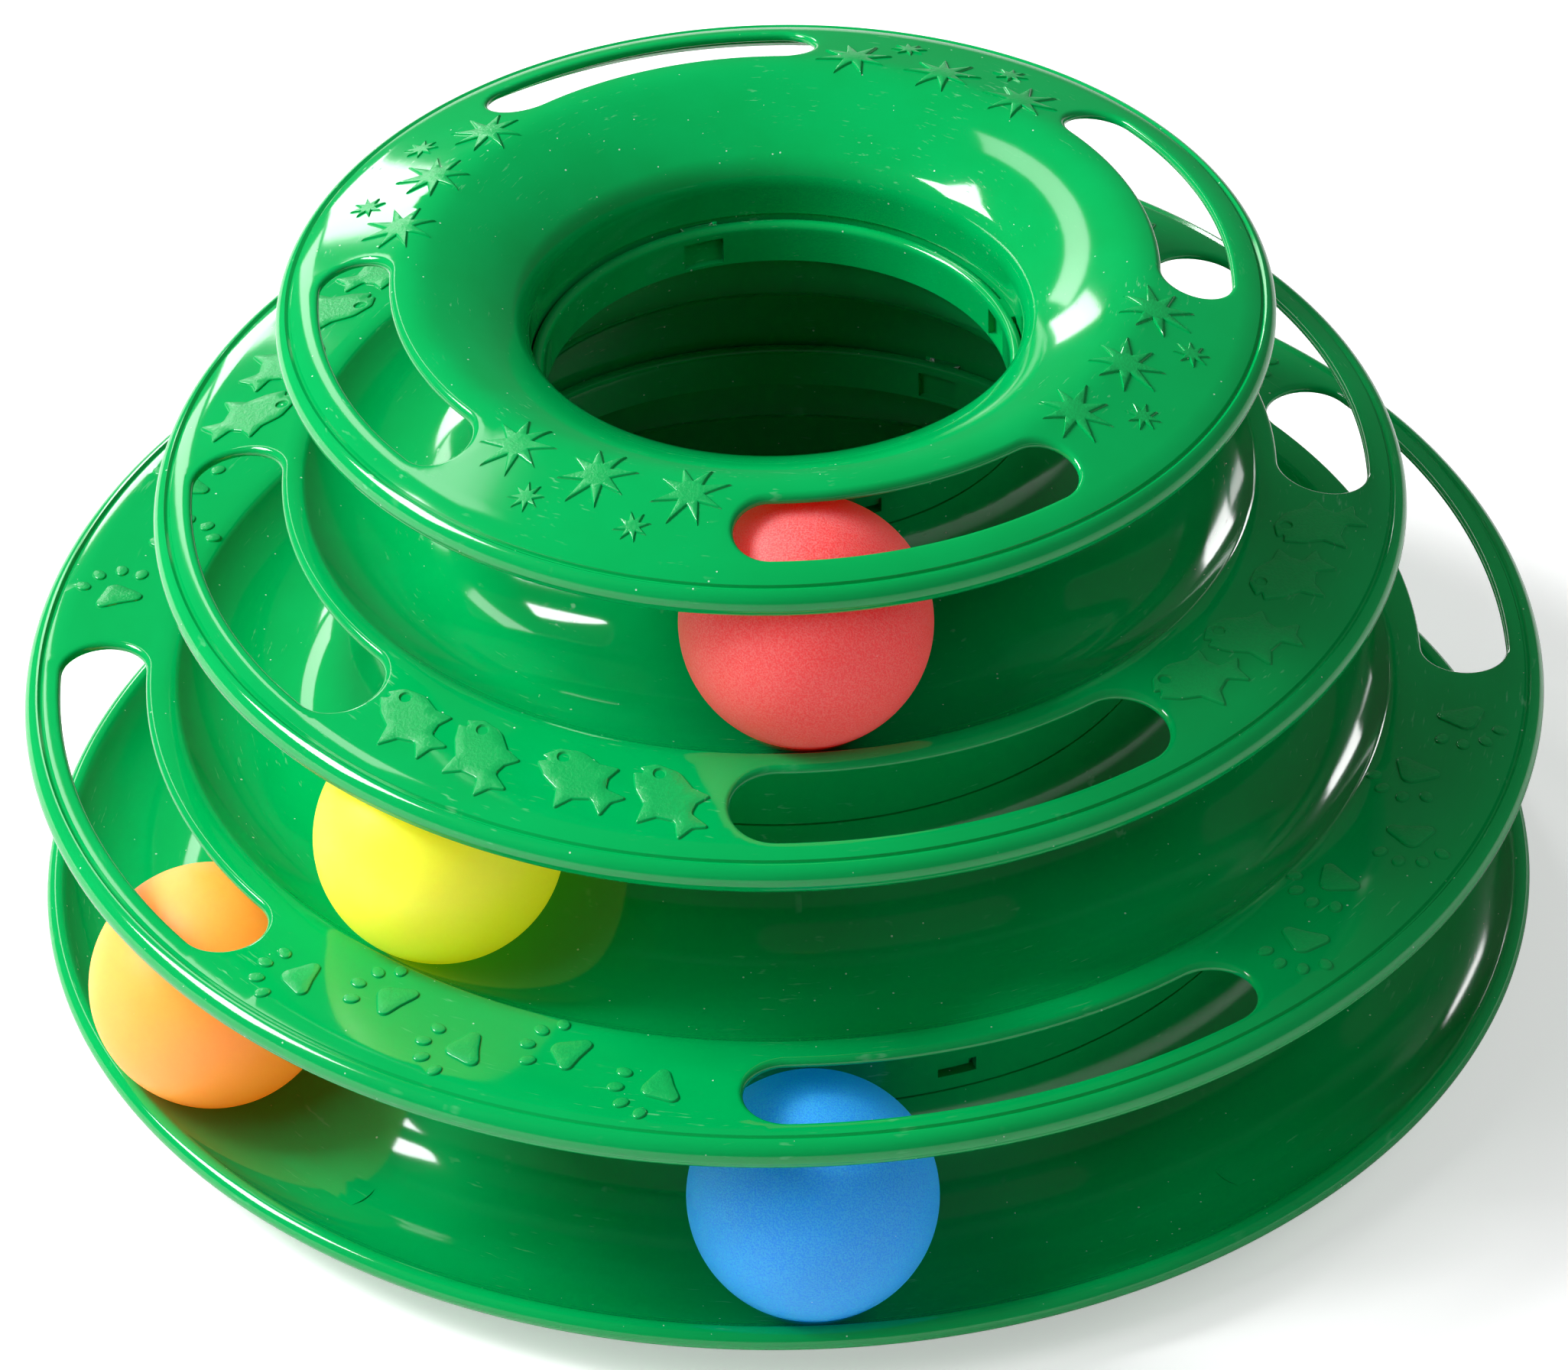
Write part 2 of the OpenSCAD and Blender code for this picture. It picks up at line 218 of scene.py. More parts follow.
class TrackToySizes(bpy.types.PropertyGroup):
    """Sizes of the moulded details."""

    wall: bpy.props.FloatProperty(
        name="Wall", description="Thickness of the moulded troughs and rings",
        default=1.6 * MM, min=1.2 * MM, max=1.8 * MM, unit="LENGTH", subtype="DISTANCE")
    slot_round: bpy.props.FloatProperty(
        name="Slot round", description="Radius of the slots' upper edges",
        default=1.0 * MM, min=0.2 * MM, max=1.0 * MM, unit="LENGTH", subtype="DISTANCE")
    slot_under: bpy.props.FloatProperty(
        name="Slot under round", description="Radius of the slots' lower edges",
        default=0.45 * MM, min=0.1 * MM, max=0.5 * MM, unit="LENGTH", subtype="DISTANCE")
    relief: bpy.props.FloatProperty(
        name="Relief", description="Height of the raised figures on the rings",
        default=0.36 * MM, min=0.2 * MM, max=0.8 * MM, unit="LENGTH", subtype="DISTANCE")
    spoke_step: bpy.props.FloatProperty(
        name="Facet angle", description="Angle between the facets round the tower's axis",
        default=1.0, min=0.5, max=3.0)


class TrackToyColours(bpy.types.PropertyGroup):
    """Colours of the plastics, the rubber and the floor."""

    green: bpy.props.FloatVectorProperty(
        name="Green", description="Colour of the moulded tracks",
        default=(0.0, 0.37, 0.082), size=3, min=0, max=1, subtype="COLOR")
    blue: bpy.props.FloatVectorProperty(
        name="Blue", description="Colour of the blue ball",
        default=(0.012, 0.28, 0.82), size=3, min=0, max=1, subtype="COLOR")
    orange: bpy.props.FloatVectorProperty(
        name="Orange", description="Colour of the orange ball",
        default=(1.0, 0.42, 0.05), size=3, min=0, max=1, subtype="COLOR")
    yellow: bpy.props.FloatVectorProperty(
        name="Yellow", description="Colour of the yellow ball",
        default=(0.92, 0.9, 0.02), size=3, min=0, max=1, subtype="COLOR")
    red: bpy.props.FloatVectorProperty(
        name="Red", description="Colour of the red ball",
        default=(0.88, 0.045, 0.05), size=3, min=0, max=1, subtype="COLOR")
    rubber: bpy.props.FloatVectorProperty(
        name="Rubber", description="Colour of the foot pads",
        default=(0.55, 0.58, 0.55), size=3, min=0, max=1, subtype="COLOR")
    floor: bpy.props.FloatVectorProperty(
        name="Floor", description="Colour of the studio floor",
        default=(0.9, 0.9, 0.9), size=3, min=0, max=1, subtype="COLOR")


class TrackToyStudio(bpy.types.PropertyGroup):
    """Lamps, floor glow and room light of the studio."""

    key_power: bpy.props.FloatProperty(
        name="Key", description="Power of the softbox on the left",
        default=30, min=0, max=500, unit="POWER")
    side_power: bpy.props.FloatProperty(
        name="Side", description="Power of the softbox towards the viewer, which the gloss doesn't show",
        default=12, min=0, max=500, unit="POWER")
    window_power: bpy.props.FloatProperty(
        name="Window", description="Power of the low window behind the toy",
        default=2.2, min=0, max=500, unit="POWER")
    gap_power: bpy.props.FloatProperty(
        name="Gap", description="Power of the long narrow gap of light above the low window",
        default=4, min=0, max=500, unit="POWER")
    fill_power: bpy.props.FloatProperty(
        name="Fill", description="Power of the broad softbox on the right, which the gloss doesn't show",
        default=6, min=0, max=500, unit="POWER")
    paper_glow: bpy.props.FloatProperty(
        name="Paper glow", description="White that the floor paper shows the camera only, shadow or not",
        default=0.45, min=0, max=1)
    sky: bpy.props.FloatProperty(
        name="Room", description="Strength of the room's own light",
        default=0.09, min=0, max=2)


def sind(angle):
    """Sine of an angle in degrees."""
    return math.sin(math.radians(angle))


def cosd(angle):
    """Cosine of an angle in degrees."""
    return math.cos(math.radians(angle))


def asind(value):
    """Angle in degrees whose sine is a value."""
    return math.degrees(math.asin(value))


def acosd(value):
    """Angle in degrees whose cosine is a value."""
    return math.degrees(math.acos(value))


def slot_directions():
    """Angles of the slots' middles."""
    return [SLOT_START + i * 360 / SLOT_COUNT for i in range(SLOT_COUNT)]


def gap_directions():
    """Angles of the middles between two slots."""
    return [SLOT_START + (i + 0.5) * 360 / SLOT_COUNT for i in range(SLOT_COUNT)]


def scaled(corners):
    """Corners given in millimetres, in the scene's own unit."""
    return [(x * MM, y * MM, r * MM) for x, y, r in corners]


def hub_r(level):
    """Outer radius of the hub inside a level's track."""
    return TOP_HUB_R + (MIDDLE - level) * TROUGH_R


def track_r(level):
    """Radius of a level's ball track."""
    return hub_r(level) + TROUGH_R


def parting_z(level):
    """Height of the parting line on a level's hub."""
    return FLOOR_Z[level] + PARTING_H


def neck_out(level):
    """Outer radius of the neck on a level's hub."""
    return hub_r(level) - COLLAR_WALL - NECK_GAP


def neck_in(level):
    """Inner radius of the neck on a level's hub."""
    return neck_out(level) - NECK_WALL


def arc(cx, cz, r, start, stop, steps, skip=0):
    """Points along an arc, from one angle to another."""
    points = []
    for i in range(skip, steps + 1):
        angle = start + (stop - start) * i / steps
        points.append((cx + r * cosd(angle), cz + r * sind(angle)))
    return points


def bow(start, start_normal, stop, stop_normal, steps):
    """Points of a gentle curve between two points of a profile, square to their normals."""
    (ax, az), (bx, bz) = start, stop
    tx, tz = sind(start_normal), -cosd(start_normal)
    ux, uz = sind(stop_normal), -cosd(stop_normal)
    reach = ((bx - ax) * uz - (bz - az) * ux) / (tx * uz - tz * ux)
    qx, qz = ax + reach * tx, az + reach * tz
    points = []
    for i in range(1, steps):
        w = i / steps
        x = (1 - w) ** 2 * ax + 2 * w * (1 - w) * qx + w ** 2 * bx
        z = (1 - w) ** 2 * az + 2 * w * (1 - w) * qz + w ** 2 * bz
        points.append((x, z))
    return points


def ring_form(crest_x, crest_z, crest_r, fall, out_r):
    """Centres and angles of the arcs that make up a ring's profile."""
    rim_fall = fall + RIM_BEND
    bead_from = 90 - rim_fall + acosd((BEAD_R - CREASE) / BEAD_R)
    bead_x = out_r - BEAD_R
    bend_x = bead_x + BEAD_R * cosd(bead_from) - BEND_R * sind(rim_fall)
    crest_end_x = crest_x + crest_r * sind(fall)
    crest_end_z = crest_z + crest_r * cosd(fall)
    drop = (bend_x + BEND_R * sind(fall) - crest_end_x) * sind(fall) / cosd(fall)
    bend_z = crest_end_z - drop - BEND_R * cosd(fall)
    bead_z = bend_z + BEND_R * cosd(rim_fall) - BEAD_R * sind(bead_from)
    return Form(crest_x, crest_z, crest_r, fall, rim_fall, bend_x, bend_z, bead_x, bead_z, bead_from, out_r)


def ring_height(form, r, depth=0.0):
    """Height of a ring's face at a radius, or of the face that lies a depth behind it."""
    crest_r = form.crest_r - depth
    crest_end = form.crest_x + crest_r * sind(form.fall)
    bend_r = BEND_R - depth
    if r <= crest_end:
        return form.crest_z + math.sqrt(crest_r ** 2 - (r - form.crest_x) ** 2)
    if r < form.bend_x + bend_r * sind(form.fall):
        crest_end_z = form.crest_z + crest_r * cosd(form.fall)
        return crest_end_z - (r - crest_end) * sind(form.fall) / cosd(form.fall)
    return form.bend_z + math.sqrt(bend_r ** 2 - (r - form.bend_x) ** 2)


def crease_r(form, depth=0.0):
    """Radius at which a ring's face meets its bead."""
    return form.bend_x + (BEND_R - depth) * sind(form.rim_fall)


def tier_form(ring, out_r):
    """Form of a tier's ring, and the angle at which its trough ends."""
    dip = asind((TROUGH_R - ring.crest_h + CREST_R) / (TROUGH_R + CREST_R))
    ridge_r = track_r(ring.level) + (TROUGH_R + CREST_R) * cosd(dip)
    crest_z = FLOOR_Z[ring.level] + ring.crest_h - CREST_R
    return ring_form(ridge_r, crest_z, CREST_R, ring.fall, out_r), dip


def spokes(edges, step):
    """Angles of the lathe's columns: an even fan that keeps every given edge."""
    apart = step * SPOKE_CLEAR
    kept = sorted(edge % 360 for edge in edges)
    angles = list(kept)
    for i in range(round(360 / step)):
        angle = i * step
        if all(abs((angle - edge + 180) % 360 - 180) > apart for edge in kept):
            angles.append(angle)
    return sorted(angles)


def feature_angles(level, sides, radius, i):
    """Angles of the two sides of a click joint's feature."""
    middle = SLOT_START + JOINT_ANGLES[level] + i * 360 / SLOT_COUNT
    return [middle + asind(side / radius) for side in sides]


def feature_edges(level, sides, radius):
    """Angles of the sides of all the features like it round a level's click joint."""
    edges = []
    for i in range(SLOT_COUNT):
        edges += feature_angles(level, sides, radius, i)
    return edges


def columns_between(angles, low, high):
    """Numbers of the columns between two angles."""
    count = len(angles)
    found = []
    for j in range(count):
        width = (angles[(j + 1) % count] - angles[j]) % 360
        middle = angles[j] + width / 2
        if (middle - low) % 360 < (high - low) % 360:
            found.append(j)
    found.sort(key=lambda j: (angles[j] - low + 1e-6) % 360)
    return found


def lathe(bm, profile, angles, holes=()):
    """Turns an open profile round the axis. Holes are (row, columns) cells that stay open."""
    grid = []
    for r, z in profile:
        grid.append([bm.verts.new((r * cosd(a), r * sind(a), z)) for a in angles])
    open_cells = {(row, column) for row, columns in holes for column in columns}
    count = len(angles)
    for i in range(len(profile) - 1):
        for j in range(count):
            if (i, j) not in open_cells:
                k = (j + 1) % count
                bm.faces.new((grid[i][j], grid[i][k], grid[i + 1][k], grid[i + 1][j]))
    return grid


def row_at(profile, r, z):
    """Number of the profile's point at a place."""
    nearest = min(range(len(profile)), key=lambda i: math.dist(profile[i], (r, z)))
    if math.dist(profile[nearest], (r, z)) > WELD:
        raise RuntimeError("the profile has no point where a feature needs one")
    return nearest


def line_of(columns, count):
    """Numbers of the spokes that bound a run of columns."""
    return list(columns) + [(columns[-1] + 1) % count]


def reveal(bm, near_low, near_high, far_low, far_high, columns, count):
    """Walls of a window between two turned walls."""
    lines = line_of(columns, count)
    for j, k in zip(lines, lines[1:]):
        bm.faces.new((near_low[j], near_low[k], far_low[k], far_low[j]))
        bm.faces.new((near_high[j], far_high[j], far_high[k], near_high[k]))
    for j in (lines[0], lines[-1]):
        bm.faces.new((near_low[j], far_low[j], far_high[j], near_high[j]))


def block(bm, rows, angles, columns, r):
    """Fills open cells with a block or a pocket whose face is at another radius. Rows go upwards."""
    low = rows[0]
    high = rows[-1]
    lines = line_of(columns, len(angles))
    foot = []
    head = []
    for j in lines:
        foot.append(bm.verts.new((r * cosd(angles[j]), r * sind(angles[j]), low[j].co.z)))
        head.append(bm.verts.new((r * cosd(angles[j]), r * sind(angles[j]), high[j].co.z)))
    for i, (j, k) in enumerate(zip(lines, lines[1:])):
        bm.faces.new((foot[i], foot[i + 1], head[i + 1], head[i]))
        bm.faces.new((low[j], low[k], foot[i + 1], foot[i]))
        bm.faces.new((head[i], head[i + 1], high[k], high[j]))
    for i, j in ((0, lines[0]), (-1, lines[-1])):
        bm.faces.new((foot[i], *[row[j] for row in rows], head[i]))


def neck_points(level):
    """Profile over the neck, from the shelf's underside inside to its top outside."""
    z = parting_z(level)
    outer = neck_out(level)
    inner = neck_in(level)
    round_r = NECK_WALL / 2
    round_z = z + NECK_H - round_r
    lug_head = asind((z + LUG_LIFT + LUG_H - round_z) / round_r)
    return [
        (inner, z - SHELF_T),
        (inner, z - RELIEF_DROP),
        (inner, z + LUG_LIFT),
        *arc(inner + round_r, round_z, round_r, 180, lug_head, 8),
        *arc(inner + round_r, round_z, round_r, lug_head, 0, 4, 1),
        (outer, z + LUG_LIFT),
        (outer, z),
    ]


def neck_edges(level):
    """Column edges that a level's lugs and reliefs need."""
    reliefs = feature_edges(level, (-RELIEF_W / 2, RELIEF_W / 2), neck_in(level))
    return feature_edges(level, LUG_SIDES[level], neck_out(level)) + reliefs


def window_edges(level):
    """Column edges that the windows over a level's neck need."""
    return feature_edges(level, (-WINDOW_W / 2, WINDOW_W / 2), hub_r(level))


def slot_points(ring, form):
    """Outline of one slot and the direction out of it at each point, in the ring's plane."""
    out_r = form.out_r - ring.slot_margin
    end_r = ring.slot_w / 2
    half = ring.slot_angle / 2 - asind(end_r / (out_r - end_r))
    end_x = (out_r - end_r) * cosd(half)
    end_y = (out_r - end_r) * sind(half)
    runs = (
        (0, 0, out_r, -half, half, 84, 1),
        (end_x, end_y, end_r, half, half + 180, 26, 1),
        (0, 0, out_r - ring.slot_w, half, -half, 76, -1),
        (end_x, -end_y, end_r, 180 - half, 360 - half, 26, 1),
    )
    points = []
    for cx, cy, r, start, stop, steps, side in runs:
        for i in range(1, steps + 1):
            angle = start + (stop - start) * i / steps
            c = cosd(angle)
            s = sind(angle)
            points.append((cx + r * c, cy + r * s, side * c, side * s))
    return points


def turned(points, angle):
    """Points turned round the axis."""
    c = cosd(angle)
    s = sind(angle)
    return [(c * x - s * y, s * x + c * y) for x, y in points]


def slot_loop(outline, offset, angle):
    """Outline of a slot, moved out of it by an offset and turned into its place."""
    return turned([(x + nx * offset, y + ny * offset) for x, y, nx, ny in outline], angle)


def rounded_edge(radius, steps):
    """Offsets from the slot and depths below the face, along a rounded edge."""
    rows = []
    for i in range(steps + 1):
        angle = 90 * i / steps
        rows.append((radius * (1 - sind(angle)), radius * (1 - cosd(angle))))
    return rows


def slot_wall(bm, form, outline, angle, sizes):
    """Rounded edges and wall of one slot, from the ring's face to its underside."""
    rows = []
    for offset, drop in rounded_edge(sizes.slot_round, 6):
        loop = slot_loop(outline, offset, angle)
        rows.append([bm.verts.new((x, y, ring_height(form, math.hypot(x, y)) - drop)) for x, y in loop])
    for offset, rise in reversed(rounded_edge(sizes.slot_under, 4)):
        loop = slot_loop(outline, offset, angle)
        under = [ring_height(form, math.hypot(x, y), sizes.wall) + rise for x, y in loop]
        rows.append([bm.verts.new((x, y, z)) for (x, y), z in zip(loop, under)])
    count = len(outline)
    for upper, low in zip(rows, rows[1:]):
        for j in range(count):
            k = (j + 1) % count
            bm.faces.new((upper[j], upper[k], low[k], low[j]))


def ring_plate(bm, form, angles, inner, outer, depth, loops, holes, step):
    """One face of a ring as a fine triangle net that keeps its slots and raised figures."""
    places = []
    lifts = []
    edges = []
    faces = []

    def add_loop(points, lift):
        first = len(places)
        count = len(points)
        places.extend(Vector(p) for p in points)
        lifts.extend([lift] * count)
        edges.extend((first + i, first + (i + 1) % count) for i in range(count))
        area = sum(points[i - 1][0] * points[i][1] - points[i][0] * points[i - 1][1] for i in range(count))
        ring = range(first, first + count)
        return list(ring) if area > 0 else list(reversed(ring))

    add_loop([(outer * cosd(a), outer * sind(a)) for a in angles], 0.0)
    inside = [(inner * cosd(a), inner * sind(a)) for a in angles]
    holes = [inside, *holes]
    for points in holes:
        faces.append(add_loop(points, 0.0))
    for loop in loops:
        faces.append(add_loop(loop.points, loop.lift))
    tree = kdtree.KDTree(len(places))
    for i, place in enumerate(places):
        tree.insert((place.x, place.y, 0), i)
    tree.balance()
    rows = max(2, round((outer - inner) / step))
    for i in range(1, rows):
        r = inner + (outer - inner) * i / rows
        turn = (i % 2) / 2
        count = round(math.tau * r / step)
        for j in range(count):
            x = r * cosd(360 * (j + turn) / count)
            y = r * sind(360 * (j + turn) / count)
            if tree.find((x, y, 0))[2] > step * NET_CLEAR:
                places.append(Vector((x, y)))
                lifts.append(None)
    net, _, cells, old_places, _, old_faces = geometry.delaunay_2d_cdt(places, edges, faces, 0, NET_MERGE)
    hole_count = len(holes)
    region = [max(old) if old else None for old in old_faces]
    heights = [None] * len(net)
    for i, old in enumerate(old_places):
        known = [lifts[k] for k in old if lifts[k] is not None]
        if known:
            heights[i] = known[0]
    for cell, where in zip(cells, region):
        for i in cell:
            if heights[i] is None:
                heights[i] = 0.0 if where is None or where < hole_count else loops[where - hole_count].lift
    verts = {}
    flip = depth > 0
    for cell, where in zip(cells, region):
        if where is not None and where < hole_count:
            continue
        corners = []
        for i in cell:
            if i not in verts:
                r = min(max(net[i].length, inner), outer)
                z = ring_height(form, r, depth) + heights[i]
                verts[i] = bm.verts.new((net[i].x, net[i].y, z))
            corners.append(verts[i])
        face = bm.faces.new(reversed(corners) if flip else corners)
        if where is not None and loops[where - hole_count].frosted:
            face.material_index = 1


def mitred(points, inset):
    """A closed outline drawn in by an inset, corner by corner."""
    count = len(points)
    moved = []
    for i in range(count):
        before = Vector(points[i - 1])
        here = Vector(points[i])
        after = Vector(points[(i + 1) % count])
        into = (here - before).normalized()
        out = (after - here).normalized()
        left_in = Vector((-into.y, into.x))
        left_out = Vector((-out.y, out.x))
        bisector = (left_in + left_out).normalized()
        reach = inset / max(bisector.dot(left_in), MITRE_LIMIT)
        moved.append(tuple(here + bisector * reach))
    return moved


def divided(points, longest):
    """Numbers of steps along each side of an outline."""
    count = len(points)
    return [max(1, math.ceil(math.dist(points[i], points[(i + 1) % count]) / longest)) for i in range(count)]


def stepped(points, steps):
    """An outline with each side divided into its number of steps."""
    count = len(points)
    made = []
    for i in range(count):
        start = Vector(points[i])
        stop = Vector(points[(i + 1) % count])
        for k in range(steps[i]):
            made.append(tuple(start.lerp(stop, k / steps[i])))
    return made


def raised(outline, relief, edge, spacing):
    """Loops of a raised figure: its foot, its shoulder and its frosted top."""
    steps = divided(outline, spacing)
    return [
        Loop(stepped(outline, steps), 0.0, False),
        Loop(stepped(mitred(outline, edge * SHOULDER_IN), steps), relief * SHOULDER_H, False),
        Loop(stepped(mitred(outline, edge), steps), relief, True),
    ]


def placed(loops, r, angle, twist):
    """Loops of a figure, turned by a twist and set at a radius and angle on a ring."""
    moved = []
    for loop in loops:
        at_radius = [(r + x, y) for x, y in turned(loop.points, twist)]
        moved.append(loop._replace(points=turned(at_radius, angle)))
    return moved


def star_outline(radius, shares, notch):
    """Star with as many points as there are shares of its radius."""
    count = len(shares)
    points = []
    for i, share in enumerate(shares):
        points.append((radius * share * cosd(360 * i / count), radius * share * sind(360 * i / count)))
        middle = 360 * (i + 0.5) / count
        points.append((radius * notch * cosd(middle), radius * notch * sind(middle)))
    return points


def rounded(corners, steps=5):
    """Outline through corners, each (x, y, radius), with an arc at each corner."""
    points = []
    for i, (x, y, r) in enumerate(corners):
        here = Vector((x, y))
        into = (here - Vector(corners[i - 1][:2])).normalized()
        out = (Vector(corners[(i + 1) % len(corners)][:2]) - here).normalized()
        turn = math.atan2(into.cross(out), into.dot(out))
        side = math.copysign(1, turn)
        normal = Vector((-into.y, into.x)) * side
        centre = here - into * r * math.tan(abs(turn) / 2) + normal * r
        for k in range(steps + 1):
            spoke = Matrix.Rotation(turn * k / steps, 2) @ -normal
            points.append(tuple(centre + spoke * r))
    return points


def oval_outline(x, y, length, width, steps=18):
    """An oval that lies along X."""
    points = [(length / 2 * cosd(360 * i / steps), width / 2 * sind(360 * i / steps)) for i in range(steps)]
    return [(x + px, y + py) for px, py in points]


def star_figures(relief):
    """Stars in the four gaps between the top ring's slots."""
    figures = []
    for middle in gap_directions():
        for star in (BIG_STAR, SMALL_STAR):
            outline = star_outline(star.radius, star.shares, star.notch)
            for offset in star.offsets:
                loops = raised(outline, relief * star.height, star.edge, star.spacing)
                figures += placed(loops, star.ring_r, middle + offset, STAR_TWIST)
    return figures


def fish_figures(relief):
    """Fish in the four gaps between the middle tier's slots, heads inwards."""
    fish = rounded(scaled(FISH_CORNERS), 4)
    eye = oval_outline(*FISH_EYE)
    figures = []
    for middle in gap_directions():
        for offset, r, twist in FISH_PLACES:
            loops = raised(fish, relief, FISH_EDGE, FISH_SPACING)
            loops.append(Loop(eye, relief, True))
            loops.append(Loop(mitred(eye, FISH_EYE_RIM), relief * FISH_EYE_H, False))
            figures += placed(loops, r * MM, middle + offset, twist)
    return figures


def paw_figures(relief):
    """Paw prints in the four gaps between the lower tier's slots, toes clockwise."""
    sole = rounded(scaled(SOLE_CORNERS))
    toe = oval_outline(*TOE)
    figures = []
    for middle in gap_directions():
        for i, offset in enumerate(PAW_OFFSETS):
            r, twist = PAW_PLACES[i % 2]
            loops = raised(sole, relief, PAW_EDGE, PAW_SPACING)
            for spread, reach in TOE_PLACES:
                near = [(x + reach * MM, y) for x, y in toe]
                loops += raised(turned(near, spread), relief * TOE_H, PAW_EDGE, PAW_SPACING)
            figures += placed(loops, r * MM, middle + offset, twist)
    return figures


def bead_points(form, wall):
    """Profile of the rolled bead, from the crease round to the crease behind."""
    first = form.bead_from
    runs = (
        (BEAD_R, first, first, 1, 1),
        (BEAD_R - CREASE_DEPTH, first - GROOVE_START, first - GROOVE_STOP, 2, 0),
        (BEAD_R, first - GROOVE_END, MOULD_LINE + MOULD_LINE_SLOPE, 20, 0),
        (BEAD_R - MOULD_LINE_DEPTH, MOULD_LINE, MOULD_LINE - MOULD_LINE_W, 2, 0),
        (BEAD_R, MOULD_LINE - MOULD_LINE_W - MOULD_LINE_SLOPE, -BEAD_END, 8, 0),
        (BEAD_R - wall, -BEAD_END, first, 16, 0),
    )
    points = []
    for r, start, stop, steps, skip in runs:
        points += arc(form.bead_x, form.bead_z, r, start, stop, steps, skip)
    return points + [(crease_r(form, wall), ring_height(form, crease_r(form, wall), wall))]


def collar_points(level, wall_top, inner_top):
    """Profile round a collar over a level's neck, from its outside top to its inside top."""
    z = parting_z(level)
    outer = hub_r(level)
    inner = outer - COLLAR_WALL
    bottom = z + SEAT_GAP
    return [
        (outer, wall_top),
        (outer, z + WINDOW_LIFT + WINDOW_H),
        (outer, z + WINDOW_LIFT),
        (outer, bottom + COLLAR_SOFT),
        (outer - COLLAR_SOFT, bottom),
        (inner, bottom),
        (inner, z + WINDOW_LIFT),
        (inner, z + WINDOW_LIFT + WINDOW_H),
        (inner, inner_top),
    ]


def cut_windows(profile, angles, level):
    """Rows and columns of the cells that the windows over a level's neck leave open."""
    z = parting_z(level) + WINDOW_LIFT
    near = row_at(profile, hub_r(level), z + WINDOW_H)
    far = row_at(profile, hub_r(level) - COLLAR_WALL, z)
    runs = []
    for i in range(SLOT_COUNT):
        low, high = feature_angles(level, (-WINDOW_W / 2, WINDOW_W / 2), hub_r(level), i)
        runs.append(columns_between(angles, low, high))
    return near, far, runs


def window_holes(cut):
    """Open cells of the windows over a level's neck."""
    near, far, runs = cut
    return [(row, run) for row in (near, far) for run in runs]


def cut_neck(profile, angles, level):
    """Rows and columns of the cells that a level's lugs and reliefs take."""
    z = parting_z(level)
    lug_foot = row_at(profile, neck_out(level), z + LUG_LIFT)
    relief = row_at(profile, neck_in(level), z - RELIEF_DROP)
    lugs = []
    reliefs = []
    for i in range(SLOT_COUNT):
        low, high = feature_angles(level, LUG_SIDES[level], neck_out(level), i)
        lugs.append(columns_between(angles, low, high))
        low, high = feature_angles(level, (-RELIEF_W / 2, RELIEF_W / 2), neck_in(level), i)
        reliefs.append(columns_between(angles, low, high))
    return lug_foot, relief, lugs, reliefs


def neck_holes(cut):
    """Open cells of a level's lugs and reliefs."""
    lug_foot, relief, lugs, reliefs = cut
    holes = [(relief, run) for run in reliefs]
    for row in range(lug_foot - LUG_ROWS, lug_foot):
        holes += [(row, run) for run in lugs]
    return holes


def finish_neck(bm, grid, angles, level, cut):
    """Lugs and reliefs of a level's neck."""
    lug_foot, relief, lugs, reliefs = cut
    lug_rows = grid[lug_foot - LUG_ROWS:lug_foot + 1][::-1]
    for columns in lugs:
        block(bm, lug_rows, angles, columns, hub_r(level) - LUG_TIP)
    for columns in reliefs:
        block(bm, grid[relief:relief + 2], angles, columns, neck_in(level) + RELIEF_DEPTH)


def finish_windows(bm, grid, angles, cut):
    """Walls of the windows in a collar."""
    near, far, runs = cut
    for columns in runs:
        reveal(bm, grid[near + 1], grid[near], grid[far], grid[far + 1], columns, len(angles))


def hub_side(level, wall):
    """Where a trough's back meets the shelf, as an angle round the trough's centre."""
    centre = FLOOR_Z[level] + TROUGH_R
    return 180 + asind((centre - parting_z(level) + SHELF_T) / (TROUGH_R + wall))


def trough_points(level, stop, wall=0.0, start=None, steps=40):
    """Profile of a trough's face, or of its back when a wall is given."""
    centre = FLOOR_Z[level] + TROUGH_R
    first = 180 + asind((TROUGH_R - PARTING_H) / TROUGH_R) if start is None else start
    return arc(track_r(level), centre, TROUGH_R + wall, first, stop, steps)


def shell_mesh(name, bm, materials):
    """Welds a shell's mesh into one closed skin and makes its object."""
    bmesh.ops.remove_doubles(bm, verts=bm.verts, dist=WELD)
    bmesh.ops.recalc_face_normals(bm, faces=bm.faces)
    open_edges = [e for e in bm.edges if not e.is_manifold]
    print(name, len(bm.verts), "points,", len(open_edges), "open edges")
    mesh = bpy.data.meshes.new(name)
    bm.to_mesh(mesh)
    bm.free()
    mesh.shade_smooth()
    mesh.set_sharp_from_angle(angle=math.radians(SHARP_EDGE))
    for material in materials:
        mesh.materials.append(material)
    made = bpy.data.objects.new(name, mesh)
    bpy.context.scene.collection.objects.link(made)
    return made


def slotted_ring(bm, ring, form, angles, inner_lean, figures, sizes):
    """Face, underside and slots of a ring, between its crest and its bead."""
    outline = slot_points(ring, form)
    directions = slot_directions()
    for depth, loops, edge in ((0.0, figures, sizes.slot_round), (sizes.wall, [], sizes.slot_under)):
        inner = form.crest_x - (form.crest_r - depth) * sind(inner_lean)
        holes = [slot_loop(outline, edge, angle) for angle in directions]
        ring_plate(bm, form, angles, inner, crease_r(form, depth), depth, loops, holes, PLATE_STEP)
    for angle in directions:
        slot_wall(bm, form, outline, angle, sizes)


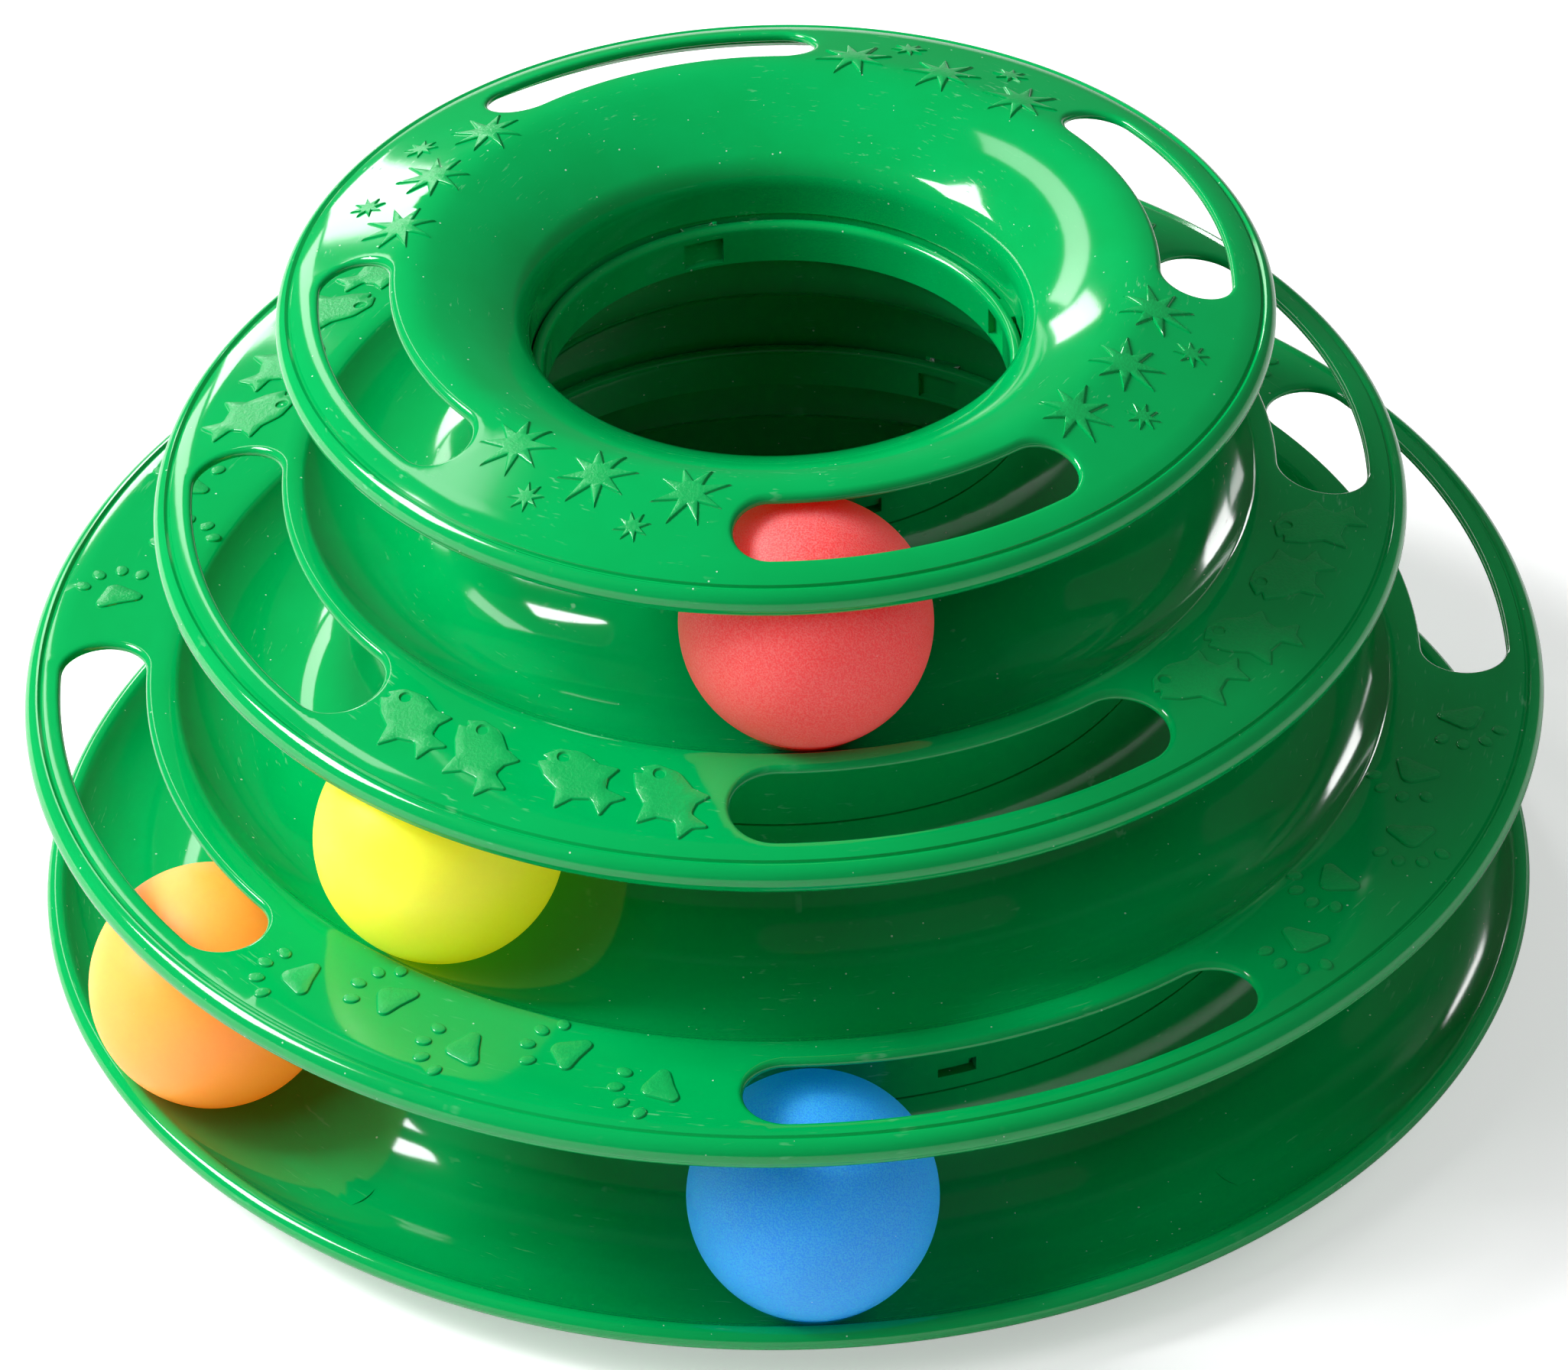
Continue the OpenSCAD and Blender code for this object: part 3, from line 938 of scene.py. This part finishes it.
def make_tier(name, ring, figures):
    """One track tier: collar, trough, ridge, slotted ring, bead and neck."""
    sizes = bpy.context.scene.track_toy_sizes
    wall = sizes.wall
    level = ring.level
    form, dip = tier_form(ring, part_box(name)[1].x)
    angles = spokes(neck_edges(level) + window_edges(level - 1), sizes.spoke_step)
    bm = bmesh.new()
    lathe(bm, bead_points(form, wall), angles)
    centre = FLOOR_Z[level] + TROUGH_R
    collar_in = asind(COLLAR_WALL / (TROUGH_R + wall))
    inner_top = centre - (TROUGH_R + wall) * cosd(collar_in)
    inside = [
        *arc(form.crest_x, form.crest_z, form.crest_r - wall, 90 + CREST_LEAN, 180 - dip, 6),
        *trough_points(level, 270, wall, 360 - dip, 16)[1:-1],
        *collar_points(level - 1, FLOOR_Z[level] - wall, inner_top),
        *trough_points(level, hub_side(level, wall), wall, 270 - collar_in, 16)[1:],
        *neck_points(level),
        *trough_points(level, 360 - dip),
        *arc(form.crest_x, form.crest_z, form.crest_r, 180 - dip, 90 + CREST_LEAN, 6, 1),
    ]
    windows = cut_windows(inside, angles, level - 1)
    neck = cut_neck(inside, angles, level)
    grid = lathe(bm, inside, angles, window_holes(windows) + neck_holes(neck))
    finish_windows(bm, grid, angles, windows)
    finish_neck(bm, grid, angles, level, neck)
    slotted_ring(bm, ring, form, angles, CREST_LEAN, figures, sizes)
    return bm


def make_top_ring():
    """Top ring: collar, throat, mouth, slotted ring and bead."""
    sizes = bpy.context.scene.track_toy_sizes
    wall = sizes.wall
    hub = hub_r(MIDDLE)
    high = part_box("top_ring")[1]
    crest_z = high.z - sizes.relief - TOP_CREST_R
    form = ring_form(TOP_CREST_X, crest_z, TOP_CREST_R, TOP_RING.fall, high.x)
    throat_r = hub - COLLAR_WALL - THROAT_STEP
    throat_z = parting_z(MIDDLE) + NECK_H + THROAT_LIFT
    mouth_x = throat_r + MOUTH_R
    reach = TOP_CREST_R - MOUTH_R
    run = TOP_CREST_X - mouth_x - reach * sind(MOUTH_SLOPE)
    mouth_z = crest_z + reach * cosd(MOUTH_SLOPE) - run * sind(MOUTH_SLOPE) / cosd(MOUTH_SLOPE)
    flare = acosd((hub - mouth_x) / (MOUTH_R - wall))
    flare_z = mouth_z + (MOUTH_R - wall) * sind(flare)
    steep = 90 + MOUTH_SLOPE + MOUTH_BOW
    gentle = 90 + MOUTH_SLOPE - MOUTH_BOW
    angles = spokes(window_edges(MIDDLE), sizes.spoke_step)
    bm = bmesh.new()
    lathe(bm, bead_points(form, wall), angles)
    under_mouth = arc(mouth_x, mouth_z, MOUTH_R - wall, steep, flare, 8)[:-1]
    under_crest = arc(TOP_CREST_X, crest_z, TOP_CREST_R - wall, gentle, gentle, 1)[0]
    mouth = arc(mouth_x, mouth_z, MOUTH_R, 180, steep, 14)
    crest = arc(TOP_CREST_X, crest_z, TOP_CREST_R, gentle, gentle, 1)[0]
    inside = [
        under_crest,
        *bow(under_mouth[0], steep, under_crest, gentle, 10)[::-1],
        *under_mouth,
        *collar_points(MIDDLE, flare_z, throat_z),
        (throat_r, throat_z),
        *mouth,
        *bow(mouth[-1], steep, crest, gentle, 10),
        crest,
    ]
    windows = cut_windows(inside, angles, MIDDLE)
    grid = lathe(bm, inside, angles, window_holes(windows))
    finish_windows(bm, grid, angles, windows)
    slotted_ring(bm, TOP_RING, form, angles, MOUTH_SLOPE - MOUTH_BOW, star_figures(sizes.relief), sizes)
    return bm


def circles_meet(ax, az, ar, bx, bz, br, side):
    """Angles, round each of two circles, of the point where they cross on one side."""
    apart = math.hypot(bx - ax, bz - az)
    along = math.degrees(math.atan2(bz - az, bx - ax))
    open_a = acosd((ar ** 2 + apart ** 2 - br ** 2) / (2 * ar * apart))
    angle_a = along + side * open_a
    x = ax + ar * cosd(angle_a)
    z = az + ar * sind(angle_a)
    return angle_a, math.degrees(math.atan2(z - bz, x - bx))


def make_base():
    """Base track without the bosses of its pads: trough, rolled rim, shelf and neck."""
    sizes = bpy.context.scene.track_toy_sizes
    wall = sizes.wall
    centre = FLOOR_Z[BASE] + TROUGH_R
    rim_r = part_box("base_track")[1].x
    edge_r = rim_r - 2 * BASE_BEAD_R + CREASE / 2
    dip = acosd((edge_r - track_r(BASE)) / TROUGH_R)
    bead_x = rim_r - BASE_BEAD_R
    bead_z = centre - TROUGH_R * sind(dip) - BASE_BEAD_R / 2
    bead = (bead_x, bead_z, BASE_BEAD_R)
    face_end, bead_start = circles_meet(track_r(BASE), centre, TROUGH_R, *bead, 1)
    back_end, bead_stop = circles_meet(track_r(BASE), centre, TROUGH_R + wall, *bead, -1)
    if back_end < 0:
        back_end += 360
    if face_end < 0:
        face_end += 360
    if bead_stop > bead_start:
        bead_stop -= 360
    angles = spokes(neck_edges(BASE), sizes.spoke_step)
    profile = [
        *trough_points(BASE, hub_side(BASE, wall), wall, back_end, 48),
        *neck_points(BASE),
        *trough_points(BASE, face_end, steps=48),
        *arc(*bead, bead_start, bead_stop, 28, 1),
    ]
    neck = cut_neck(profile, angles, BASE)
    bm = bmesh.new()
    grid = lathe(bm, profile, angles, neck_holes(neck))
    finish_neck(bm, grid, angles, BASE, neck)
    return bm


def disc_profile(r, low, high, soft):
    """Profile of a disc with softened edges, from its lower middle to its upper middle."""
    return [
        (0.0, low),
        *arc(r - soft, low + soft, soft, 270, 360, 5),
        *arc(r - soft, high - soft, soft, 0, 90, 5),
        (0.0, high),
    ]


def boss_profile(wall):
    """Profile of a pad's boss with the seat sunk into its foot."""
    seat_r = PAD_D / 2 + PAD_GAP
    boss_r = seat_r + BOSS_RIM
    centre = FLOOR_Z[BASE] + TROUGH_R
    top = centre - math.sqrt((TROUGH_R + wall) ** 2 - boss_r ** 2) + PAD_GAP * 2
    bottom = PAD_T - PAD_SEAT
    return [(0.0, PAD_T), (seat_r, PAD_T), (seat_r, bottom), (boss_r, bottom), (boss_r, top), (0.0, top)]


def pad_centre(number):
    """Place of a foot pad on the ground."""
    angle = PAD_START + number * 360 / PAD_COUNT
    return Vector((track_r(BASE) * cosd(angle), track_r(BASE) * sind(angle), 0))


def turned_solid(profile, centre, steps):
    """Closed body of revolution that stands at a place on the ground."""
    bm = bmesh.new()
    lathe(bm, profile, [360 * i / steps for i in range(steps)])
    bmesh.ops.remove_doubles(bm, verts=bm.verts, dist=WELD)
    bmesh.ops.recalc_face_normals(bm, faces=bm.faces)
    bmesh.ops.translate(bm, verts=bm.verts, vec=centre)
    return bm


def add_bosses(shell, wall):
    """Joins the bosses of the pads to the base's shell."""
    made = []
    for number in range(PAD_COUNT):
        bm = turned_solid(boss_profile(wall), pad_centre(number), 72)
        mesh = bpy.data.meshes.new("boss")
        bm.to_mesh(mesh)
        bm.free()
        boss = bpy.data.objects.new("boss", mesh)
        bpy.context.scene.collection.objects.link(boss)
        joint = shell.modifiers.new("boss", "BOOLEAN")
        joint.operation = "UNION"
        joint.solver = "MANIFOLD"
        joint.object = boss
        made.append(boss)
    graph = bpy.context.evaluated_depsgraph_get()
    joined = bpy.data.meshes.new_from_object(shell.evaluated_get(graph))
    shell.modifiers.clear()
    shell.data = joined
    joined.shade_smooth()
    joined.set_sharp_from_angle(angle=math.radians(SHARP_EDGE))
    for boss in made:
        bpy.data.objects.remove(boss)


class Wiring:
    """Adds nodes to one node tree and joins them up."""

    def __init__(self, tree):
        self.tree = tree

    def add(self, kind, inputs=(), **settings):
        made = self.tree.nodes.new(kind)
        for name, value in settings.items():
            setattr(made, name, value)
        for name, value in dict(inputs).items():
            self.feed(made.inputs[name], value)
        return made

    def feed(self, socket, value):
        if isinstance(value, bpy.types.NodeSocket):
            self.tree.links.new(value, socket)
        else:
            socket.default_value = value

    def math(self, operation, first, second=0.0):
        return self.add("ShaderNodeMath", {0: first, 1: second}, operation=operation).outputs[0]

    def plus(self, first, second):
        return self.math("ADD", first, second)

    def times(self, first, second):
        return self.math("MULTIPLY", first, second)

    def ramp(self, value, low, high, start=0.0, stop=1.0):
        return self.add("ShaderNodeMapRange", {0: value, 1: low, 2: high, 3: start, 4: stop}).outputs[0]

    def mix(self, factor, first, second):
        return self.add("ShaderNodeMix", {0: factor, 6: first, 7: second}, data_type="RGBA").outputs[2]

    def place(self):
        """Coordinates in the object's own frame."""
        return self.add("ShaderNodeTexCoord").outputs["Object"]

    def noise(self, place, scale, detail=2.0, rough=0.5):
        settings = {"Vector": place, "Scale": scale, "Detail": detail, "Roughness": rough}
        return self.add("ShaderNodeTexNoise", settings).outputs["Fac"]

    def effect(self, group, **inputs):
        """The only output of a node group."""
        return self.add("ShaderNodeGroup", inputs, node_tree=group).outputs[0]

    def bump(self, shader, height, strength, distance):
        """Lets a height tilt the shader's surface."""
        made = self.add("ShaderNodeBump", {"Height": height, "Strength": strength, "Distance": distance})
        self.feed(shader.inputs["Normal"], made.outputs[0])


def new_group(name, inputs, outputs):
    """An empty shader node group with its sockets, and the wiring inside it."""
    tree = bpy.data.node_groups.new(name, "ShaderNodeTree")
    for label, kind, value in inputs:
        socket = tree.interface.new_socket(name=label, in_out="INPUT", socket_type=kind)
        socket.default_value = value
    for label, kind in outputs:
        tree.interface.new_socket(name=label, in_out="OUTPUT", socket_type=kind)
    wires = Wiring(tree)
    return tree, wires, wires.add("NodeGroupInput"), wires.add("NodeGroupOutput")


def round_place(wires, round_share):
    """Coordinates drawn out along the turn of the tracks, more so the smaller the share, with no seam."""
    parts = wires.add("ShaderNodeSeparateXYZ", {0: wires.place()})
    x, y, z = parts.outputs
    r = wires.math("SQRT", wires.plus(wires.times(x, x), wires.times(y, y)))
    made = wires.add("ShaderNodeCombineXYZ", {
        0: wires.times(wires.math("DIVIDE", x, r), round_share),
        1: wires.times(wires.math("DIVIDE", y, r), round_share),
        2: wires.plus(r, wires.times(z, 0.8)),
    })
    return made.outputs[0]


def dust_group():
    """Specks of dust and lint that lie on a surface."""
    tree, wires, given, taken = new_group(
        "dust_specks", (("Density", "NodeSocketFloat", 0.1), ("Scale", "NodeSocketFloat", 700.0)),
        (("Mask", "NodeSocketFloat"),))
    place = wires.place()
    scale = given.outputs["Scale"]
    cells = wires.add("ShaderNodeTexVoronoi", {"Vector": place, "Scale": scale, "Randomness": 1.0})
    chance = wires.add("ShaderNodeSeparateColor", {0: cells.outputs["Color"]})
    patches = wires.ramp(wires.noise(place, 28.0, 3.0), 0.35, 0.7)
    present = wires.math("LESS_THAN", chance.outputs[0], wires.times(given.outputs["Density"], patches))
    size = wires.ramp(chance.outputs[1], 0.0, 1.0, 0.05, 0.15)
    inside = wires.math("LESS_THAN", cells.outputs["Distance"], size)
    wires.feed(taken.inputs["Mask"], wires.times(present, inside))
    return tree


def scratch_group():
    """Hairline scratches that run round the tracks."""
    tree, wires, given, taken = new_group(
        "hairline_scratches", (("Amount", "NodeSocketFloat", 0.5),), (("Mask", "NodeSocketFloat"),))
    lines = wires.ramp(wires.noise(round_place(wires, 0.012), 1800.0, 2.0, 0.6), 0.64, 0.72)
    patches = wires.ramp(wires.noise(round_place(wires, 0.09), 60.0), 0.5, 0.7)
    wires.feed(taken.inputs["Mask"], wires.times(wires.times(lines, patches), given.outputs["Amount"]))
    return tree


def grain_group():
    """Leathery or sandy grain as a height."""
    tree, wires, given, taken = new_group(
        "moulded_grain", (("Scale", "NodeSocketFloat", 2000.0), ("Sharpness", "NodeSocketFloat", 0.5)),
        (("Height", "NodeSocketFloat"),))
    soft = wires.noise(wires.place(), given.outputs["Scale"], 3.0, 0.6)
    hard = wires.ramp(soft, 0.42, 0.6)
    made = wires.add("ShaderNodeMix", {0: given.outputs["Sharpness"], 2: soft, 3: hard}, data_type="FLOAT")
    wires.feed(taken.inputs["Height"], made.outputs[0])
    return tree


def plastic(name, colour, roughness, specular=0.5):
    """A material with one shader: the wiring round it, and the shader."""
    made = bpy.data.materials.new(name)
    made.use_nodes = True
    shader = made.node_tree.nodes["Principled BSDF"]
    shader.inputs["Base Color"].default_value = (*colour, 1)
    shader.inputs["Roughness"].default_value = roughness
    shader.inputs["Specular IOR Level"].default_value = specular
    made.diffuse_color = (*colour, 1)
    return Wiring(made.node_tree), shader


def green_gloss(colour, groups):
    """Glossy moulded green with flow marks, hairline scratches and dust."""
    wires, shader = plastic("green_gloss", colour, 0.1)
    place = wires.place()
    dust = wires.effect(groups["dust"], Density=0.14, Scale=800.0)
    scratches = wires.effect(groups["scratches"], Amount=1.0)
    flow = wires.noise(round_place(wires, 0.05), 90.0, 3.0)
    deep = (colour[0], colour[1] * 0.97, colour[2] * 0.95, 1)
    pale = (colour[0], colour[1] * 1.03, colour[2] * 1.06, 1)
    tone = wires.mix(wires.ramp(flow, 0.35, 0.65), deep, pale)
    worn = wires.mix(wires.times(scratches, 0.22), tone, (0.35, 0.75, 0.5, 1))
    dusty = wires.mix(wires.times(dust, 0.6), worn, (0.7, 0.85, 0.75, 1))
    wires.feed(shader.inputs["Base Color"], dusty)
    smear = wires.ramp(wires.noise(place, 14.0, 3.0), 0.3, 0.75, 0.05, 0.12)
    rubbed = wires.plus(smear, wires.times(scratches, 0.2))
    wires.feed(shader.inputs["Roughness"], wires.plus(rubbed, wires.times(dust, 0.4)))
    waves = wires.times(wires.noise(place, 55.0), 0.35)
    height = wires.plus(waves, wires.times(wires.noise(place, 420.0), 0.03))
    height = wires.plus(height, wires.times(scratches, -0.03))
    height = wires.plus(height, wires.times(dust, 0.2))
    wires.bump(shader, height, 0.25, 0.35 * MM)


def green_frosted(colour, groups):
    """The raised figures' tops: the same green with a leathery grain."""
    pale = (colour[0] + 0.006, colour[1] * 1.03, colour[2] * 1.08)
    wires, shader = plastic("green_frosted", pale, 0.3)
    grain = wires.effect(groups["grain"], Scale=1900.0, Sharpness=0.4)
    low = (*[c * 0.93 for c in pale], 1)
    high = (*[min(1, c * 1.08) for c in pale], 1)
    wires.feed(shader.inputs["Base Color"], wires.mix(grain, low, high))
    wires.bump(shader, grain, 0.45, 0.1 * MM)


def ball_plastic(look, colour, groups):
    """Matt ball plastic: sandy with paler specks that are partly painted glints of the grain, or smooth
    satin.

    A painted glow: an emission of the inner colour makes the ball glow by itself, standing for light that
    fills the thin hollow ball.
    """
    sandy = look.sandy
    speck = (*look.speck, 1)
    wires, shader = plastic(look.finish, colour, 0.5, 0.9 - 0.3 * sandy)
    shader.inputs["Subsurface Weight"].default_value = 1.0
    shader.inputs["Subsurface Radius"].default_value = (1.0, 0.6, 0.35)
    shader.inputs["Subsurface Scale"].default_value = 14 * MM
    # Painted glow: the emission brightens the ball from within, though no lamp lights it there
    shader.inputs["Emission Color"].default_value = (*look.inner, 1)
    shader.inputs["Emission Strength"].default_value = look.glow
    place = wires.place()
    grain = wires.effect(groups["grain"], Scale=3600.0, Sharpness=0.2 + 0.8 * sandy)
    dust = wires.effect(groups["dust"], Density=0.03, Scale=900.0)
    # Paler specks along the grain: partly the grain's own tone, partly painted glints on the sandy balls
    tone = wires.mix(wires.times(grain, 0.1 + 0.8 * sandy), (*colour, 1), speck)
    clouds = wires.ramp(wires.noise(place, 90.0, 3.0), 0.3, 0.7, 0.0, 0.15)
    dusty = wires.mix(wires.times(dust, 0.5), wires.mix(clouds, tone, speck), (0.85, 0.85, 0.8, 1))
    wires.feed(shader.inputs["Base Color"], dusty)
    wires.feed(shader.inputs["Roughness"], wires.ramp(grain, 0.0, 1.0, 0.45, 0.6))
    height = wires.plus(wires.times(grain, 0.3 + sandy), wires.noise(place, 160.0))
    wires.bump(shader, height, 0.2 + 0.6 * sandy, 0.06 * MM)


def pad_rubber(colour, groups):
    """Soft matt rubber with a fine grain."""
    wires, shader = plastic("pad_rubber", colour, 0.75, 0.3)
    grain = wires.effect(groups["grain"], Scale=2400.0)
    tone = wires.mix(grain, (*[c * 0.85 for c in colour], 1), (*colour, 1))
    wires.feed(shader.inputs["Base Color"], tone)
    wires.bump(shader, grain, 0.4, 0.1 * MM)


def finishes():
    """The toy's materials, made once."""
    if "green_gloss" not in bpy.data.materials:
        colours = bpy.context.scene.track_toy_colours
        groups = {"dust": dust_group(), "scratches": scratch_group(), "grain": grain_group()}
        green_gloss(tuple(colours.green), groups)
        green_frosted(tuple(colours.green), groups)
        for name, look in BALL_LOOKS.items():
            ball_plastic(look, tuple(getattr(colours, name)), groups)
        pad_rubber(tuple(colours.rubber), groups)
    return dict(bpy.data.materials.items())


def dress_shell(bm, name, body, node):
    """Makes a green shell's object, which stands for its node and rides on its body."""
    looks = finishes()
    shell = shell_mesh(name, bm, (looks["green_gloss"], looks["green_frosted"]))
    if node == "base_track":
        add_bosses(shell, bpy.context.scene.track_toy_sizes.wall)
    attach(shell, body)
    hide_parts(node)


class TRACKTOY_OT_base_track(bpy.types.Operator):
    """Build the bottom track"""

    bl_idname = "track_toy.base_track"
    bl_label = "Base track"

    def execute(self, context):
        dress_shell(make_base(), "base_track_shell", "base", "base_track")
        return {"FINISHED"}


class TRACKTOY_OT_lower_tier(bpy.types.Operator):
    """Build the lower tier with its paw prints"""

    bl_idname = "track_toy.lower_tier"
    bl_label = "Lower tier"

    def execute(self, context):
        figures = paw_figures(context.scene.track_toy_sizes.relief)
        bm = make_tier("lower_tier", LOWER_RING, figures)
        dress_shell(bm, "lower_tier_shell", "lower", "lower_tier")
        return {"FINISHED"}


class TRACKTOY_OT_middle_tier(bpy.types.Operator):
    """Build the middle tier with its fish"""

    bl_idname = "track_toy.middle_tier"
    bl_label = "Middle tier"

    def execute(self, context):
        figures = fish_figures(context.scene.track_toy_sizes.relief)
        bm = make_tier("middle_tier", MIDDLE_RING, figures)
        dress_shell(bm, "middle_tier_shell", "middle", "middle_tier")
        return {"FINISHED"}


class TRACKTOY_OT_top_ring(bpy.types.Operator):
    """Build the top ring with its stars"""

    bl_idname = "track_toy.top_ring"
    bl_label = "Top ring"

    def execute(self, context):
        dress_shell(make_top_ring(), "top_ring_shell", "top", "top_ring")
        return {"FINISHED"}


class TRACKTOY_OT_balls(bpy.types.Operator):
    """Build the four balls, each with the faint seam of its two halves"""

    bl_idname = "track_toy.balls"
    bl_label = "Balls"

    def execute(self, context):
        looks = finishes()
        for colour, look in BALL_LOOKS.items():
            low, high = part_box(f"{colour}_ball")
            r = (high.z - low.z) / 2
            bm = bmesh.new()
            bmesh.ops.create_uvsphere(bm, u_segments=BALL_COLUMNS, v_segments=BALL_ROWS, radius=r)
            for v in bm.verts:
                v.co *= 1 - SEAM_SHARE * math.exp(-(v.co.z / SEAM_HALF_W) ** 2)
            place = Matrix.Translation((low + high) / 2)
            place @= Matrix.Rotation(math.radians(look.turn), 4, "Z")
            place @= Matrix.Rotation(math.radians(look.lean), 4, "X")
            bmesh.ops.transform(bm, matrix=place, verts=bm.verts)
            ball = shell_mesh(f"{colour}_ball_skin", bm, (looks[look.finish],))
            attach(ball, colour)
            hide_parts(f"{colour}_ball")
        return {"FINISHED"}


class TRACKTOY_OT_foot_pads(bpy.types.Operator):
    """Build the rubber pads under the base"""

    bl_idname = "track_toy.foot_pads"
    bl_label = "Foot pads"

    def execute(self, context):
        looks = finishes()
        for number in range(PAD_COUNT):
            bm = turned_solid(disc_profile(PAD_D / 2, 0.0, PAD_T, PAD_SOFT), pad_centre(number), 64)
            pad = shell_mesh(f"foot_pad_{number + 1}_rubber", bm, (looks["pad_rubber"],))
            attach(pad, "base")
            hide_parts(f"foot_pad_{number + 1}")
        return {"FINISHED"}


def area_lamp(form, power):
    """A softbox round the toy that faces it, with its upright turned by a lean."""
    light = bpy.data.lights.new(form.name, "AREA")
    light.shape = "RECTANGLE"
    light.size, light.size_y = form.size
    light.energy = power
    lamp = bpy.data.objects.new(form.name, light)
    lamp.location = (form.distance * cosd(form.azimuth), form.distance * sind(form.azimuth), form.height)
    facing = (Vector((0, 0, LAMP_AIM)) - lamp.location).to_track_quat("-Z", "Y")
    lamp.rotation_euler = (facing @ Quaternion((0, 0, 1), math.radians(form.lean))).to_euler()
    lamp.visible_glossy = form.in_gloss
    bpy.context.scene.collection.objects.link(lamp)


def photo_camera():
    """Camera at the photograph's viewpoint, turned down by its pitch and rolled about its line of sight."""
    camera = bpy.data.cameras.new("photo_camera")
    camera.sensor_width = SENSOR_WIDTH
    camera.lens = FOCAL_LENGTH_PX / PHOTO_WIDTH * SENSOR_WIDTH
    camera.clip_end = CAMERA_REACH
    right = Vector((1, 0, 0))
    up = Vector((0, sind(CAMERA_PITCH), cosd(CAMERA_PITCH)))
    ahead = Vector((0, cosd(CAMERA_PITCH), -sind(CAMERA_PITCH)))
    rolled_right = cosd(CAMERA_ROLL) * right + sind(CAMERA_ROLL) * up
    rolled_up = -sind(CAMERA_ROLL) * right + cosd(CAMERA_ROLL) * up
    turn = Matrix((rolled_right, rolled_up, -ahead)).transposed().to_4x4()
    made = bpy.data.objects.new("photo_camera", camera)
    made.matrix_world = Matrix.Translation(CAMERA_PLACE) @ turn
    bpy.context.scene.collection.objects.link(made)
    return made


class TRACKTOY_OT_stage(bpy.types.Operator):
    """Set up the floor, lamps, room light and camera"""

    bl_idname = "track_toy.stage"
    bl_label = "Studio"

    def execute(self, context):
        scene = context.scene
        studio = scene.track_toy_studio
        colours = scene.track_toy_colours
        bm = bmesh.new()
        bmesh.ops.create_grid(bm, x_segments=1, y_segments=1, size=FLOOR_HALF)
        mesh = bpy.data.meshes.new("studio_floor")
        bm.to_mesh(mesh)
        bm.free()
        floor = bpy.data.objects.new("studio_floor", mesh)
        scene.collection.objects.link(floor)
        wires, shader = plastic("floor_paper", tuple(colours.floor), 0.9, 0.1)
        shader.inputs["Emission Color"].default_value = (1, 1, 1, 1)
        seen = wires.add("ShaderNodeLightPath").outputs["Is Camera Ray"]
        wires.feed(shader.inputs["Emission Strength"], wires.ramp(seen, 0.0, 1.0, 0.0, studio.paper_glow))
        mesh.materials.append(bpy.data.materials["floor_paper"])
        for lamp in LAMPS:
            area_lamp(lamp, getattr(studio, lamp.power))
        world = bpy.data.worlds.new("studio_room")
        world.use_nodes = True
        scene.world = world
        room = Wiring(world.node_tree)
        ground = world.node_tree.nodes["Background"]
        eye = room.add("ShaderNodeLightPath").outputs["Is Camera Ray"]
        ground.inputs["Color"].default_value = (1, 1, 1, 1)
        room.feed(ground.inputs["Strength"], room.ramp(eye, 0.0, 1.0, studio.sky, 1.0))
        scene.camera = photo_camera()
        scene.view_settings.view_transform = "Standard"
        return {"FINISHED"}


class TRACKTOY_PT_panel(bpy.types.Panel):
    """Track toy tools"""

    bl_idname = "TRACKTOY_PT_panel"
    bl_label = "Track Toy"
    bl_space_type = "VIEW_3D"
    bl_region_type = "UI"
    bl_category = "Track Toy"

    def draw(self, context):
        for operator in OPERATORS:
            self.layout.operator(operator.bl_idname)


OPERATORS = (
    TRACKTOY_OT_base_track, TRACKTOY_OT_lower_tier, TRACKTOY_OT_middle_tier, TRACKTOY_OT_top_ring,
    TRACKTOY_OT_balls, TRACKTOY_OT_foot_pads, TRACKTOY_OT_stage,
)
CLASSES = (TrackToySizes, TrackToyColours, TrackToyStudio, *OPERATORS, TRACKTOY_PT_panel)


def register():
    """Registers the classes and hangs their settings on the scene."""
    for one in CLASSES:
        bpy.utils.register_class(one)
    bpy.types.Scene.track_toy_sizes = bpy.props.PointerProperty(type=TrackToySizes)
    bpy.types.Scene.track_toy_colours = bpy.props.PointerProperty(type=TrackToyColours)
    bpy.types.Scene.track_toy_studio = bpy.props.PointerProperty(type=TrackToyStudio)


def unregister():
    """Takes the settings and classes away again."""
    del bpy.types.Scene.track_toy_studio
    del bpy.types.Scene.track_toy_colours
    del bpy.types.Scene.track_toy_sizes
    for one in reversed(CLASSES):
        bpy.utils.unregister_class(one)


def main():
    """Builds the whole toy and its studio."""
    register()
    for operator in OPERATORS:
        group, name = operator.bl_idname.split(".")
        getattr(getattr(bpy.ops, group), name)()


if __name__ == "__main__":
    main()
